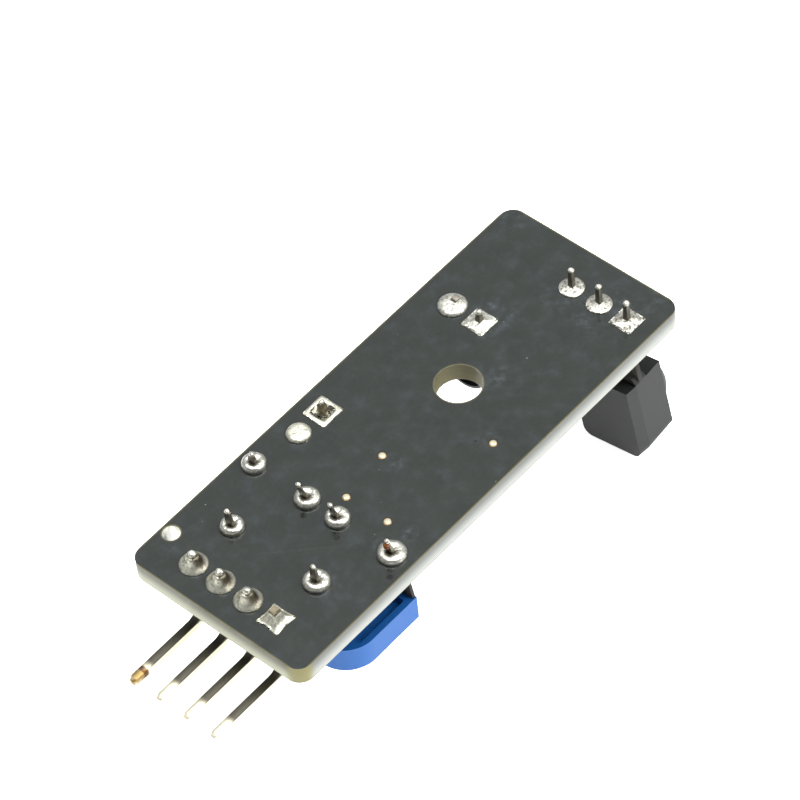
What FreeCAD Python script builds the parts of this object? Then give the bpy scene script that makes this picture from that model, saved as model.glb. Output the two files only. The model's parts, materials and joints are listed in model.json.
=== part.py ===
import FreeCAD, Part
import math
import os
import Sketcher
from FreeCAD import Placement, Rotation, Vector

# Infrared obstacle sensor module: a small black circuit board carrying a
# four-pin header, two trimmers, a timer chip, an infrared emitter in a sleeve,
# a three-lead receiver, a jumper and a few chip parts.
# +Z points out of the solder face, +X along the board towards the sensors.
# The origin is the centre of the mounting hole on the solder face, so every
# component hangs below the board, towards -Z.

doc = FreeCAD.newDocument("infrared_obstacle_sensor")

# Driving dimensions in millimetres, as alias, value and meaning.
SIZES = [
    ("board_length", 41.0, "board along X"),
    ("board_width", 16.0, "board along Y"),
    ("board_thickness", 1.6, "board thickness"),
    ("board_corner", 1.2, "radius of the board's corners"),
    ("header_end", 25.8, "mounting hole centre to the header end of the board"),
    ("mounting_bore", 3.5, "diameter of the mounting hole"),
    ("spare_bore", 1.3, "diameter of the small empty hole"),
    ("spare_from_end", 3.5, "small hole to the header end"),
    ("spare_edge_gap", 0.9, "small hole to the long edge"),
    ("lead_bore", 1.0, "diameter of each plated lead hole"),
    ("plating", 0.03, "wall of the plating in a lead hole"),
    ("header_from_end", 2.46, "header row to the header end of the board"),
    ("header_middle", 0.21, "Y of the middle of the header row"),
    ("pin_pitch", 2.54, "spacing of header and jumper pins"),
    ("pin_width", 0.64, "side of the square pins"),
    ("pin_tip", 0.35, "length of the tapered pin tip"),
    ("pin_point", 0.36, "side of the square at the very tip"),
    ("block_depth", 2.3, "moulded pin block across its row"),
    ("block_height", 2.3, "moulded pin block off the board"),
    ("block_bevel", 0.45, "bevel between two places of a pin block"),
    ("header_tail", 1.3, "header pin beyond the solder face"),
    ("header_run", 4.3, "bent pin run below the component face"),
    ("header_bend", 1.25, "bend radius at the middle of the pin"),
    ("header_reach", 4.85, "pin tip beyond the end of the board"),
    ("trimmer_row", 14.36, "mounting hole back to the row of trimmer end legs"),
    ("trimmer_a_place", 4.14, "Y of trimmer A"),
    ("trimmer_b_place", -3.67, "Y of trimmer B"),
    ("trimmer_leg_pitch", 5.0, "between the end legs, and from their row to the wiper leg"),
    ("trimmer_face", 0.95, "leg row to the end face of the trimmer"),
    ("trimmer_length", 7.2, "trimmer housing along X"),
    ("trimmer_width", 7.1, "trimmer housing along Y"),
    ("trimmer_corner", 2.6, "corner radius at the wiper end"),
    ("trimmer_standoff", 3.4, "board to the underside of the housing"),
    ("trimmer_wall", 2.3, "height of the housing"),
    ("well_radius", 3.25, "round well in the housing"),
    ("well_depth", 1.3, "depth of the well"),
    ("under_recess", 0.6, "recess under the housing"),
    ("under_rib", 0.5, "rib and rim width under the housing"),
    ("plate_radius", 3.15, "resistor plate"),
    ("plate_thickness", 0.5, "resistor plate"),
    ("rotor_radius", 3.1, "rotor disc"),
    ("rotor_proud", 1.1, "rotor top beyond the housing"),
    ("rotor_gap", 0.1, "rotor over its contact"),
    ("slot_length", 4.4, "screwdriver slot"),
    ("slot_width", 0.8, "screwdriver slot"),
    ("slot_depth", 0.8, "screwdriver slot"),
    ("pivot_radius", 0.6, "eyelet that the rotor turns on"),
    ("pivot_clearance", 0.05, "running gap around the eyelet"),
    ("contact_radius", 2.3, "spring contact under the rotor"),
    ("contact_thickness", 0.25, "spring contact"),
    ("contact_rim", 0.4, "metal left around the window in the contact"),
    ("contact_window", 2.0, "window in the contact along Y"),
    ("terminal_sheet", 0.3, "sheet thickness of a trimmer terminal"),
    ("terminal_shoulder", 1.9, "terminal width at the housing"),
    ("terminal_neck", 1.2, "terminal width at its shoulder"),
    ("terminal_leg", 0.8, "terminal width in the board"),
    ("terminal_sink", 0.1, "wiper terminal below the housing's rim"),
    ("terminal_gap", 0.05, "between the wiper terminal and its channel"),
    ("terminal_point", 0.5, "terminal width at its tip"),
    ("terminal_taper", 0.4, "length of the terminal's narrowing tip"),
    ("eyelet_proud", 0.5, "eyelet beyond the resistor plate"),
    ("trimmer_tail", 1.9, "trimmer leg beyond the solder face"),
    ("emitter_row", 5.23, "mounting hole to the emitter leads"),
    ("emitter_middle", 3.77, "Y of the emitter axis"),
    ("emitter_pitch", 2.54, "between the emitter leads"),
    ("emitter_setback", 0.9, "emitter leads to the back of its flange"),
    ("emitter_radius", 2.45, "lens radius"),
    ("emitter_length", 8.6, "flange back to lens tip"),
    ("flange_radius", 2.8, "flange of the emitter"),
    ("flange_thickness", 1.0, "flange of the emitter"),
    ("sleeve_wall", 0.2, "sleeve wall"),
    ("sleeve_gap", 0.04, "between sleeve and lens"),
    ("sleeve_float", 0.05, "sleeve over the board"),
    ("sleeve_behind", 1.0, "sleeve beyond the emitter leads"),
    ("sleeve_ahead", 1.5, "sleeve beyond the lens tip"),
    ("sleeve_back_radius", 2.2, "sleeve behind the flange"),
    ("sleeve_notch_gap", 0.1, "notch in the sleeve beyond the leads"),
    ("emitter_tail", 1.3, "emitter lead beyond the solder face"),
    ("lead_thickness", 0.5, "side of the square round-part leads"),
    ("receiver_from_end", 3.46, "receiver leads to the sensor end of the board"),
    ("receiver_middle", -3.21, "Y of the middle receiver lead"),
    ("receiver_pitch", 2.54, "between receiver leads"),
    ("receiver_lift", 4.45, "board to the receiver block"),
    ("receiver_width", 5.6, "receiver block"),
    ("receiver_height", 7.2, "receiver block"),
    ("receiver_back", 1.65, "leads to the back of the block"),
    ("receiver_front", 2.3, "leads to the front of the block"),
    ("receiver_parting", 0.6, "leads back to the parting plane of the mould"),
    ("receiver_draft", 4.0, "draft angle of the moulded halves in degrees"),
    ("receiver_corner", 0.8, "far corners of the block"),
    ("receiver_lens", 2.25, "radius of the lens"),
    ("receiver_bulge", 1.8, "lens beyond the block"),
    ("receiver_lens_top", 1.0, "lens short of the far end of the block"),
    ("receiver_rib", 1.18, "rib that the leads leave the block through"),
    ("receiver_step", 0.5, "rib beyond the end of the block"),
    ("receiver_slope", 0.35, "slope at the two ends of the rib"),
    ("receiver_seat", 0.5, "leads into the block"),
    ("receiver_neck", 1.0, "straight part of the leads before the block"),
    ("receiver_lean", 10.0, "sideways lean of the receiver in degrees"),
    ("receiver_tail", 2.15, "receiver lead beyond the solder face"),
    ("receiver_lead_width", 0.45, "receiver lead along Y"),
    ("receiver_lead_sheet", 0.4, "receiver lead along X"),
    ("jumper_place", 7.79, "mounting hole back to the near jumper pin"),
    ("jumper_side", 5.95, "Y of the jumper"),
    ("jumper_tail", 1.15, "jumper pin beyond the solder face"),
    ("jumper_pin_gap", 0.2, "jumper pin short of the strip in its cap"),
    ("cap_wall", 0.5, "jumper cap wall"),
    ("cap_height", 6.0, "jumper cap"),
    ("cap_slack", 0.1, "jumper cap over its block and pins"),
    ("cap_depth", 2.4, "jumper cap across its row"),
    ("clip_sheet", 0.2, "contact strip in the jumper cap"),
    ("clip_gap", 0.02, "between the strip and the walls of the cap"),
    ("clip_inset", 0.2, "side of a contact leaf to the side of its socket"),
    ("chip_place", 8.4, "mounting hole back to the timer chip"),
    ("chip_side", -1.5, "Y of the timer chip"),
    ("chip_width", 3.9, "timer chip body along X"),
    ("chip_length", 4.9, "timer chip body along Y"),
    ("chip_height", 1.5, "timer chip body"),
    ("chip_lift", 0.15, "timer chip off the board"),
    ("chip_span", 6.0, "across the chip's leads"),
    ("chip_pitch", 1.27, "between the chip's leads"),
    ("chip_lead_width", 0.42, "chip lead"),
    ("chip_lead_sheet", 0.2, "chip lead"),
    ("chip_lead_slope", 0.2, "slant of a lead between chip and board"),
    ("chip_bevel", 0.25, "slope of the chip's sides"),
    ("chip_mark", 0.35, "radius of the mark at the first lead"),
    ("chip_mark_inset", 1.0, "mark to the two nearest sides"),
    ("chip_mark_depth", 0.06, "depth of the mark"),
    ("small_length", 2.0, "chip resistor, capacitor or indicator"),
    ("small_width", 1.25, "chip resistor, capacitor or indicator"),
    ("small_cap", 0.4, "metal end of a chip part"),
    ("resistor_height", 0.5, "chip resistor"),
    ("capacitor_height", 0.95, "chip capacitor"),
    ("indicator_height", 0.75, "indicator light"),
    ("edge_row", 1.6, "chip parts nearest to a long edge, from that edge"),
    ("row_pitch", 1.9, "between rows of chip parts"),
    ("column_start", 5.6, "X of the first column of chip parts"),
    ("column_pitch", 4.1, "between columns of chip parts"),
    ("solder_pad", 0.98, "radius of a solder joint on its pad"),
    ("solder_rise", 0.75, "height of a solder cone"),
    ("solder_flat", 0.3, "height of a flat solder joint"),
    ("solder_top", 0.48, "radius at the top of a solder joint"),
    ("solder_pad_rise", 0.12, "solder on the corners of a square pad"),
    ("solder_foot", 0.15, "solder that came through to the component face"),
    ("solder_foot_radius", 0.7, "its radius"),
]

# Places of the chip parts, all along X: column, row from the long edge, side of the board
RESISTORS = [(0, 0, -1), (4, 0, -1), (0, 3, -1), (1, 0, 1), (2, 0, 1), (2, 1, 1)]
CAPACITORS = [(0, 1, -1), (0, 2, -1), (3, 0, -1)]
INDICATORS = [(1, 0, -1), (2, 0, -1)]

HEADER_PIN_COUNT = 4
JUMPER_PIN_COUNT = 2
RECEIVER_LEAD_COUNT = 3
CHIP_LEAD_COUNT = 4

# Mounting hole to the receiver leads, along X
RECEIVER_ROW = "({board_length}-{header_end}-{receiver_from_end})"

# Sides of a solder joint, which is faceted to keep the model light
JOINT_SIDE_COUNT = 10


def make_sheet():
    sheet = doc.addObject("Spreadsheet::Sheet", "sizes")
    for row, (alias, value, meaning) in enumerate(SIZES, start=1):
        sheet.set("A%d" % row, alias)
        sheet.set("B%d" % row, str(value))
        sheet.set("C%d" % row, meaning)
        sheet.setAlias("B%d" % row, alias)
    doc.recompute()
    return sheet


sheet = make_sheet()
nodes = []


def size(alias):
    """The number that the sheet holds under an alias."""
    return float(sheet.get(alias))


def formula(text):
    """A formula with each alias in curly brackets turned into a sheet reference."""
    return text.replace("{", "sizes.").replace("}", "")


def number(text):
    """The value of a formula."""
    return float(sheet.evalExpression(formula(text)))


def place(item, x="0", y="0", z="0"):
    item.setExpression("Placement.Base.x", formula(x))
    item.setExpression("Placement.Base.y", formula(y))
    item.setExpression("Placement.Base.z", formula(z))


def new_body(label):
    body = doc.addObject("PartDesign::Body", label)
    body.Label = label
    nodes.append(body)
    return body


def origin_plane(body, role):
    return [plane for plane in body.Origin.OriginFeatures if plane.Role == role][0]


def new_sketch(body, name, role="XY_Plane", offset="0"):
    """A sketch on an origin plane, moved along the plane's normal by a formula."""
    sketch = body.newObject("Sketcher::SketchObject", name)
    sketch.AttachmentSupport = [(origin_plane(body, role), "")]
    sketch.MapMode = "FlatFace"
    sketch.setExpression("AttachmentOffset.Base.z", formula(offset))
    return sketch


def pin_point(sketch, index, end, x, y):
    """Hold one end of a line or the centre of a circle at two formulas."""
    for kind, axis, text in (("DistanceX", -2, x), ("DistanceY", -1, y)):
        if text == "0":
            sketch.addConstraint(Sketcher.Constraint("PointOnObject", index, end, axis))
            continue
        rule = sketch.addConstraint(Sketcher.Constraint(kind, -1, 1, index, end, number(text)))
        sketch.setExpression("Constraints[%d]" % rule, formula(text))


def add_polygon(sketch, corners):
    """A closed outline whose corners are pairs of formulas."""
    points = [Vector(number(x), number(y), 0) for x, y in corners]
    first = sketch.GeometryCount
    count = len(points)
    for place_in_row in range(count):
        line = Part.LineSegment(points[place_in_row], points[(place_in_row + 1) % count])
        sketch.addGeometry(line, False)
    for place_in_row in range(count):
        after = first + (place_in_row + 1) % count
        sketch.addConstraint(Sketcher.Constraint("Coincident", first + place_in_row, 2, after, 1))
    for place_in_row, (x, y) in enumerate(corners):
        pin_point(sketch, first + place_in_row, 1, x, y)


def add_box(sketch, x, y, width, height):
    """A rectangle around a middle, all four as formulas."""
    left = "(%s)-(%s)/2" % (x, width)
    right = "(%s)+(%s)/2" % (x, width)
    low = "(%s)-(%s)/2" % (y, height)
    high = "(%s)+(%s)/2" % (y, height)
    add_polygon(sketch, [(left, low), (right, low), (right, high), (left, high)])


def round_corner(sketch, line, radius):
    """Round the corner where a line of an outline starts."""
    sketch.fillet(line, 1, number(radius), True, True)
    arc = sketch.GeometryCount - 1
    while sketch.Geometry[arc].TypeId != "Part::GeomArcOfCircle":
        arc -= 1
    rule = sketch.addConstraint(Sketcher.Constraint("Radius", arc, number(radius)))
    sketch.setExpression("Constraints[%d]" % rule, formula(radius))


def add_circle(sketch, x, y, radius):
    ring = Part.Circle(Vector(number(x), number(y), 0), Vector(0, 0, 1), number(radius))
    index = sketch.addGeometry(ring, False)
    pin_point(sketch, index, 3, x, y)
    rule = sketch.addConstraint(Sketcher.Constraint("Radius", index, number(radius)))
    sketch.setExpression("Constraints[%d]" % rule, formula(radius))


def add_pad(body, sketch, name, length, reverse=False):
    pad = body.newObject("PartDesign::Pad", name)
    pad.Profile = sketch
    pad.Reversed = reverse
    pad.setExpression("Length", formula(length))
    return pad


def add_pocket(body, sketch, name, depth, reverse=False):
    """A pocket that must remove material."""
    doc.recompute()
    before = body.Shape.Volume
    pocket = body.newObject("PartDesign::Pocket", name)
    pocket.Profile = sketch
    pocket.Reversed = reverse
    pocket.setExpression("Length", formula(depth))
    doc.recompute()
    if body.Shape.Volume >= before:
        raise ValueError(name + " cuts nothing")
    return pocket


def edge_names(body, test):
    doc.recompute()
    return ["Edge%d" % (index + 1) for index, edge in enumerate(body.Shape.Edges) if test(edge)]


def add_fillet(body, name, radius, test):
    """Round the edges of the body as it stands that pass a test."""
    names = edge_names(body, test)
    base = body.Tip
    fillet = body.newObject("PartDesign::Fillet", name)
    fillet.Base = (base, names)
    fillet.setExpression("Radius", formula(radius))
    return fillet


def add_chamfer(body, name, bevel, test):
    names = edge_names(body, test)
    base = body.Tip
    chamfer = body.newObject("PartDesign::Chamfer", name)
    chamfer.Base = (base, names)
    chamfer.setExpression("Size", formula(bevel))
    return chamfer


def upright(edge):
    """True for a straight edge along Z."""
    if edge.Curve.TypeId != "Part::GeomLine":
        return False
    return abs(abs(edge.Curve.Direction.z) - 1) < 1e-6


def new_part(label, shape, where=None):
    """A sub-part whose form is made with shape functions from the sheet's sizes."""
    part = doc.addObject("Part::Feature", label)
    part.Label = label
    part.Shape = shape
    if where is not None:
        part.Placement = where
    nodes.append(part)
    return part


def slab(x, y, z, width, depth, height):
    """A box around the middle (x, y) that reaches from z upwards by its height."""
    corner = Vector(x - width / 2, y - depth / 2, z)
    return Part.makeBox(width, depth, height, corner)


def prism(points, along):
    """A flat outline pushed along a vector."""
    return Part.Face(Part.makePolygon(points + points[:1])).extrude(along)


def steps(count):
    """Places in a row of that many, in pitches from its middle, the highest first."""
    return [(count - 1) / 2 - order for order in range(count)]


# Circuit board

def trimmer_holes(middle):
    ends = [("-{trimmer_row}", middle + half + "{trimmer_leg_pitch}/2") for half in ("+", "-")]
    return ends + [("-{trimmer_row}-{trimmer_leg_pitch}", middle)]


def lead_holes():
    """Every plated hole as two formulas, in the order of its part's leads."""
    header_row = "{header_middle}+(%s)*{pin_pitch}"
    receiver_row = "{receiver_middle}+(%s)*{receiver_pitch}"
    return {
        "header": [("-{header_end}+{header_from_end}", header_row % step)
                   for step in steps(HEADER_PIN_COUNT)],
        "trimmer_a": trimmer_holes("{trimmer_a_place}"),
        "trimmer_b": trimmer_holes("{trimmer_b_place}"),
        "jumper": [("-{jumper_place}-%d*{pin_pitch}" % order, "{jumper_side}")
                   for order in range(JUMPER_PIN_COUNT)],
        "emitter": [("{emitter_row}", "{emitter_middle}%s{emitter_pitch}/2" % half)
                    for half in ("+", "-")],
        "receiver": [(RECEIVER_ROW, receiver_row % step) for step in steps(RECEIVER_LEAD_COUNT)],
    }


def circuit_board():
    body = new_body("circuit_board")
    outline = new_sketch(body, "board_outline")
    middle = "{board_length}/2-{header_end}"
    add_box(outline, middle, "0", "{board_length}", "{board_width}")
    add_pad(body, outline, "board_slab", "{board_thickness}", reverse=True)
    add_fillet(body, "board_corners", "{board_corner}", upright)
    holes = new_sketch(body, "board_holes")
    add_circle(holes, "0", "0", "{mounting_bore}/2")
    add_circle(holes, "{spare_from_end}-{header_end}", "{board_width}/2-{spare_edge_gap}", "{spare_bore}/2")
    for x, y in sum(lead_holes().values(), []):
        add_circle(holes, x, y, "{lead_bore}/2")
    add_pocket(body, holes, "board_drilling", "{board_thickness}")


# Pin blocks and pins

def pin_block(label, places, along_x, x, y):
    """A moulded strip with a bevel on each side between two pin places."""
    body = new_body(label)
    outline = new_sketch(body, label + "_outline")
    corners = []
    for place_in_row in range(places):
        start = "(%d-%d/2)*{pin_pitch}" % (place_in_row, places)
        end = "(%d-%d/2)*{pin_pitch}" % (place_in_row + 1, places)
        corners += [(start, "{block_depth}/2-{block_bevel}"), (start + "+{block_bevel}", "{block_depth}/2"),
                    (end + "-{block_bevel}", "{block_depth}/2")]
    corners.append(("%d/2*{pin_pitch}" % places, "{block_depth}/2-{block_bevel}"))
    mirrored = [(across, "-(%s)" % depth) for across, depth in reversed(corners)]
    corners = corners + mirrored
    if not along_x:
        corners = [(depth, across) for across, depth in corners]
    add_polygon(outline, corners)
    add_pad(body, outline, label + "_strip", "{block_height}", reverse=True)
    bores = new_sketch(body, label + "_bores")
    for place_in_row in range(places):
        step = "(%d-%d/2+0.5)*{pin_pitch}" % (place_in_row, places)
        across = (step, "0") if along_x else ("0", step)
        add_box(bores, across[0], across[1], "{pin_width}", "{pin_width}")
    add_pocket(body, bores, label + "_passages", "{block_height}")
    place(body, x, y, "-{board_thickness}")


def tapered_end(axis_start, axis_end):
    """The pointed end of a square pin, from its full section to its point."""
    full, small = size("pin_width"), size("pin_point")
    frame = Rotation(Vector(0, 0, 1), axis_end - axis_start)
    rings = []
    for middle, side in ((axis_start, full), (axis_end, small)):
        square = Part.makePlane(side, side, Vector(-side / 2, -side / 2, 0)).OuterWire
        square.Placement = Placement(middle, frame)
        rings.append(square)
    return Part.makeLoft(rings, True)


def header_pin(number_in_row):
    """A square pin that stands in the board and turns towards the board's end."""
    label = "header_pin_%d" % number_in_row
    x = size("header_from_end") - size("header_end")
    y = size("header_middle") + steps(HEADER_PIN_COUNT)[number_in_row - 1] * size("pin_pitch")
    top, tip = size("header_tail"), size("pin_tip")
    run = -size("board_thickness") - size("header_run")
    bend = size("header_bend")
    end = -size("header_end") - size("header_reach")
    turn = Vector(x - bend, y, run + bend)
    half = math.sqrt(0.5) * bend
    path = Part.Wire([
        Part.makeLine(Vector(x, y, top - tip), Vector(x, y, run + bend)),
        Part.Arc(Vector(x, y, run + bend), turn + Vector(half, 0, -half), Vector(x - bend, y, run)).toShape(),
        Part.makeLine(Vector(x - bend, y, run), Vector(end + tip, y, run)),
    ])
    side = size("pin_width")
    section = Part.makePlane(side, side, Vector(x - side / 2, y - side / 2, top - tip)).OuterWire
    pin = path.makePipeShell([section], True, True)
    pin = pin.fuse(tapered_end(Vector(x, y, top - tip), Vector(x, y, top)))
    pin = pin.fuse(tapered_end(Vector(end + tip, y, run), Vector(end, y, run)))
    return new_part(label, pin.removeSplitter())


def straight_pin(label, x, y, top, bottom):
    tip, side = size("pin_tip"), size("pin_width")
    pin = slab(x, y, bottom + tip, side, side, top - bottom - 2 * tip)
    pin = pin.fuse(tapered_end(Vector(x, y, top - tip), Vector(x, y, top)))
    pin = pin.fuse(tapered_end(Vector(x, y, bottom + tip), Vector(x, y, bottom)))
    return new_part(label, pin.removeSplitter())


# Trimmers: the rotor's axis is the local origin, the component face is z = 0

ROTOR_BACK = "{trimmer_row}-{trimmer_face}+{trimmer_length}/2"
WIPER_LEG = "{trimmer_length}/2-{trimmer_face}-{trimmer_leg_pitch}"
PLATE_FACE = "-{trimmer_standoff}-{trimmer_wall}+{well_depth}-{plate_thickness}"


def stand_at_trimmer(item, letter):
    place(item, "-(%s)" % ROTOR_BACK, "{trimmer_%s_place}" % letter, "-{board_thickness}")


def trimmer_base(letter):
    label = "trimmer_%s_base" % letter
    body = new_body(label)
    outline = new_sketch(body, label + "_outline", offset="-{trimmer_standoff}")
    add_box(outline, "0", "0", "{trimmer_length}", "{trimmer_width}")
    add_pad(body, outline, label + "_block", "{trimmer_wall}", reverse=True)
    add_fillet(body, label + "_corners", "{trimmer_corner}",
               lambda edge: upright(edge) and edge.CenterOfMass.x < 0)
    well = new_sketch(body, label + "_well", offset="-{trimmer_standoff}-{trimmer_wall}+{well_depth}")
    add_circle(well, "0", "0", "{well_radius}")
    add_pocket(body, well, label + "_rotor_well", "{well_depth}")
    bays = new_sketch(body, label + "_bays", offset="-{trimmer_standoff}-{under_recess}")
    bay_width = "({trimmer_width}-5*{under_rib})/4"
    for step in ("-1.5", "-0.5", "0.5", "1.5"):
        bay_length = "{trimmer_length}-{trimmer_corner}"
        add_box(bays, "{trimmer_corner}/2-{terminal_sheet}-{under_rib}",
                "%s*(%s+{under_rib})" % (step, bay_width), bay_length, bay_width)
    add_pocket(body, bays, label + "_ribs", "{under_recess}", reverse=True)
    channel = new_sketch(body, label + "_channel", offset="-{trimmer_standoff}")
    add_polygon(channel, [
        (WIPER_LEG + "-{terminal_sheet}", "-{terminal_neck}/2-{terminal_gap}"),
        ("3*{pivot_radius}", "-{terminal_neck}/2-{terminal_gap}"),
        ("3*{pivot_radius}", "{terminal_neck}/2+{terminal_gap}"),
        (WIPER_LEG + "-{terminal_sheet}", "{terminal_neck}/2+{terminal_gap}"),
    ])
    add_pocket(body, channel, label + "_terminal_channel", "{terminal_sink}+{terminal_sheet}")
    eye = new_sketch(body, label + "_eye", offset="-{trimmer_standoff}")
    add_circle(eye, "0", "0", "{pivot_radius}+{pivot_clearance}")
    add_pocket(body, eye, label + "_eyelet_hole", "{trimmer_wall}")
    slots = new_sketch(body, label + "_slots", offset="-{trimmer_standoff}")
    for half in ("+", "-"):
        add_box(slots, "{trimmer_length}/2-{terminal_sheet}/2", "%s{trimmer_leg_pitch}/2" % half,
                "{terminal_sheet}", "{terminal_shoulder}")
    add_pocket(body, slots, label + "_terminal_slots", "{trimmer_wall}-{well_depth}+{plate_thickness}")
    stand_at_trimmer(body, letter)


def trimmer_plate(letter):
    """The round plate that carries the resistor track."""
    label = "trimmer_%s_track_plate" % letter
    body = new_body(label)
    disc = new_sketch(body, label + "_disc", offset="-{trimmer_standoff}-{trimmer_wall}+{well_depth}")
    add_circle(disc, "0", "0", "{plate_radius}")
    add_circle(disc, "0", "0", "{pivot_radius}+{pivot_clearance}")
    add_pad(body, disc, label + "_plate", "{plate_thickness}", reverse=True)
    stand_at_trimmer(body, letter)


def trimmer_contact(letter):
    """The round spring contact that turns with the rotor, with two arms on the track."""
    label = "trimmer_%s_wiper" % letter
    body = new_body(label)
    disc = new_sketch(body, label + "_disc", offset=PLATE_FACE + "-{pivot_clearance}")
    add_circle(disc, "0", "0", "{contact_radius}")
    add_circle(disc, "0", "0", "{pivot_radius}+{pivot_clearance}")
    add_pad(body, disc, label + "_spring", "{contact_thickness}", reverse=True)
    windows = new_sketch(body, label + "_windows", offset=PLATE_FACE + "-{pivot_clearance}")
    add_box(windows, "-({contact_radius}+{pivot_radius}-{contact_rim}/2)/2", "0",
            "{contact_radius}-{pivot_radius}-2.5*{contact_rim}", "{contact_window}")
    add_pocket(body, windows, label + "_window", "{contact_thickness}")
    stand_at_trimmer(body, letter)


def trimmer_rotor(letter):
    label = "trimmer_%s_rotor" % letter
    body = new_body(label)
    low = "(%s-{pivot_clearance}-{contact_thickness}-{rotor_gap})" % PLATE_FACE
    top = "(-{trimmer_standoff}-{trimmer_wall}-{rotor_proud})"
    disc = new_sketch(body, label + "_disc", offset=low)
    add_circle(disc, "0", "0", "{rotor_radius}")
    add_pad(body, disc, label + "_head", "%s-%s" % (low, top), reverse=True)
    bore = new_sketch(body, label + "_bore", offset=low)
    add_circle(bore, "0", "0", "{pivot_radius}+{pivot_clearance}")
    add_pocket(body, bore, label + "_pivot_bore", "{pivot_radius}")
    slot = new_sketch(body, label + "_slot", offset=top)
    half_length, half_width = "{slot_length}/2", "{slot_width}/2"
    add_polygon(slot, [
        (half_length, "-" + half_width), (half_length, half_width), (half_width, half_width),
        (half_width, half_length), ("-" + half_width, half_length), ("-" + half_width, half_width),
        ("-" + half_length, half_width), ("-" + half_length, "-" + half_width),
        ("-" + half_width, "-" + half_width), ("-" + half_width, "-" + half_length),
        (half_width, "-" + half_length), (half_width, "-" + half_width),
    ])
    add_pocket(body, slot, label + "_cross_slot", "{slot_depth}", reverse=True)
    stand_at_trimmer(body, letter)


def strip(points, sheet_thickness):
    """A sheet strip along a bent line in the XZ plane, as an outline around it."""
    left, right = [], []
    half = sheet_thickness / 2
    for index, point in enumerate(points):
        before = points[max(index - 1, 0)]
        after = points[min(index + 1, len(points) - 1)]
        first = (point - before).normalize() if index > 0 else (after - point).normalize()
        second = (after - point).normalize() if index < len(points) - 1 else first
        middle = (first + second).normalize()
        reach = half / middle.dot(first)
        side = Vector(-middle.z, 0, middle.x) * reach
        left.append(point + side)
        right.append(point - side)
    return left + right[::-1]


def end_terminal(letter, order):
    """A stamped leg: wide at the housing, narrow through the board."""
    side = 1 if order == 1 else -1
    sheet_thickness = size("terminal_sheet")
    face = size("trimmer_length") / 2 - sheet_thickness / 2
    leg = size("trimmer_length") / 2 - size("trimmer_face")
    top = size("board_thickness") + size("trimmer_tail")
    standoff = size("trimmer_standoff")
    up = standoff + size("trimmer_wall") - size("well_depth") + size("plate_thickness")
    kink = standoff / 2
    line = [Vector(leg, 0, top), Vector(leg, 0, -kink / 2), Vector(face, 0, -kink), Vector(face, 0, -up)]
    wide, neck, leg_width = size("terminal_shoulder"), size("terminal_neck"), size("terminal_leg")
    side_view = prism([point - Vector(0, wide / 2, 0) for point in strip(line, sheet_thickness)],
                      Vector(0, wide, 0))
    outline = []
    for width, height in ((size("terminal_point"), top), (leg_width, top - size("terminal_taper")),
                          (leg_width, 0), (neck, 0), (neck, -kink), (wide, -standoff), (wide, -up)):
        outline.append(Vector(-size("trimmer_length"), width / 2, height))
    outline += [Vector(point.x, -point.y, point.z) for point in reversed(outline)]
    shape = side_view.common(prism(outline, Vector(2 * size("trimmer_length"), 0, 0)))
    label = "trimmer_%s_end_terminal_%d" % (letter, order)
    part = new_part(label, shape)
    place(part, "-(%s)" % ROTOR_BACK,
          "{trimmer_%s_place}+%d*{trimmer_leg_pitch}/2" % (letter, side), "-{board_thickness}")
    return part


def wiper_terminal(letter):
    """The middle leg with its eyelet, which the rotor turns on."""
    sheet_thickness = size("terminal_sheet")
    leg = number(WIPER_LEG)
    top = size("board_thickness") + size("trimmer_tail")
    level = -size("trimmer_standoff") - sheet_thickness / 2 - size("terminal_sink")
    width = size("terminal_neck")
    line = [Vector(leg, 0, top), Vector(leg, 0, level), Vector(size("pivot_radius") * 2, 0, level)]
    shape = prism([point - Vector(0, width / 2, 0) for point in strip(line, sheet_thickness)],
                  Vector(0, width, 0))
    leg_width = size("terminal_leg")
    for side in (1, -1):
        waste = slab(leg, side * (width + leg_width) / 2, 0, width, width, 2 * top)
        shape = shape.cut(waste)
    eyelet_end = number(PLATE_FACE + "-{pivot_clearance}-{contact_thickness}-{eyelet_proud}")
    eyelet = Part.makeCylinder(size("pivot_radius"), level - eyelet_end, Vector(0, 0, eyelet_end))
    shape = shape.fuse(eyelet).removeSplitter()
    part = new_part("trimmer_%s_wiper_terminal" % letter, shape)
    stand_at_trimmer(part, letter)
    return part


# Emitter in its sleeve: the axis lies along X over the component face

def emitter_axis_height():
    return size("flange_radius") + size("sleeve_wall") + size("sleeve_gap") + size("sleeve_float")


def revolve_along_x(points):
    """Turn an outline of (x, radius) pairs about the emitter's axis."""
    face = Part.Face(Part.makePolygon([Vector(x, 0, radius) for x, radius in points + points[:1]]))
    return face.revolve(Vector(0, 0, 0), Vector(1, 0, 0), 360)


def emitter_place():
    height = -size("board_thickness") - emitter_axis_height()
    return Placement(Vector(size("emitter_row"), size("emitter_middle"), height), Rotation())


def emitter_lens():
    start = size("emitter_setback")
    radius, flange = size("emitter_radius"), size("flange_radius")
    end = start + size("emitter_length")
    straight = end - radius
    lens = revolve_along_x([(start, 0), (start, flange), (start + size("flange_thickness"), flange),
                            (start + size("flange_thickness"), radius), (straight, radius), (straight, 0)])
    dome = Part.makeSphere(radius, Vector(straight, 0, 0), Vector(1, 0, 0))
    dome = dome.common(slab(straight + radius / 2, 0, -radius, radius, 4 * radius, 2 * radius))
    new_part("emitter_lens", lens.fuse(dome).removeSplitter(), emitter_place())


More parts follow.
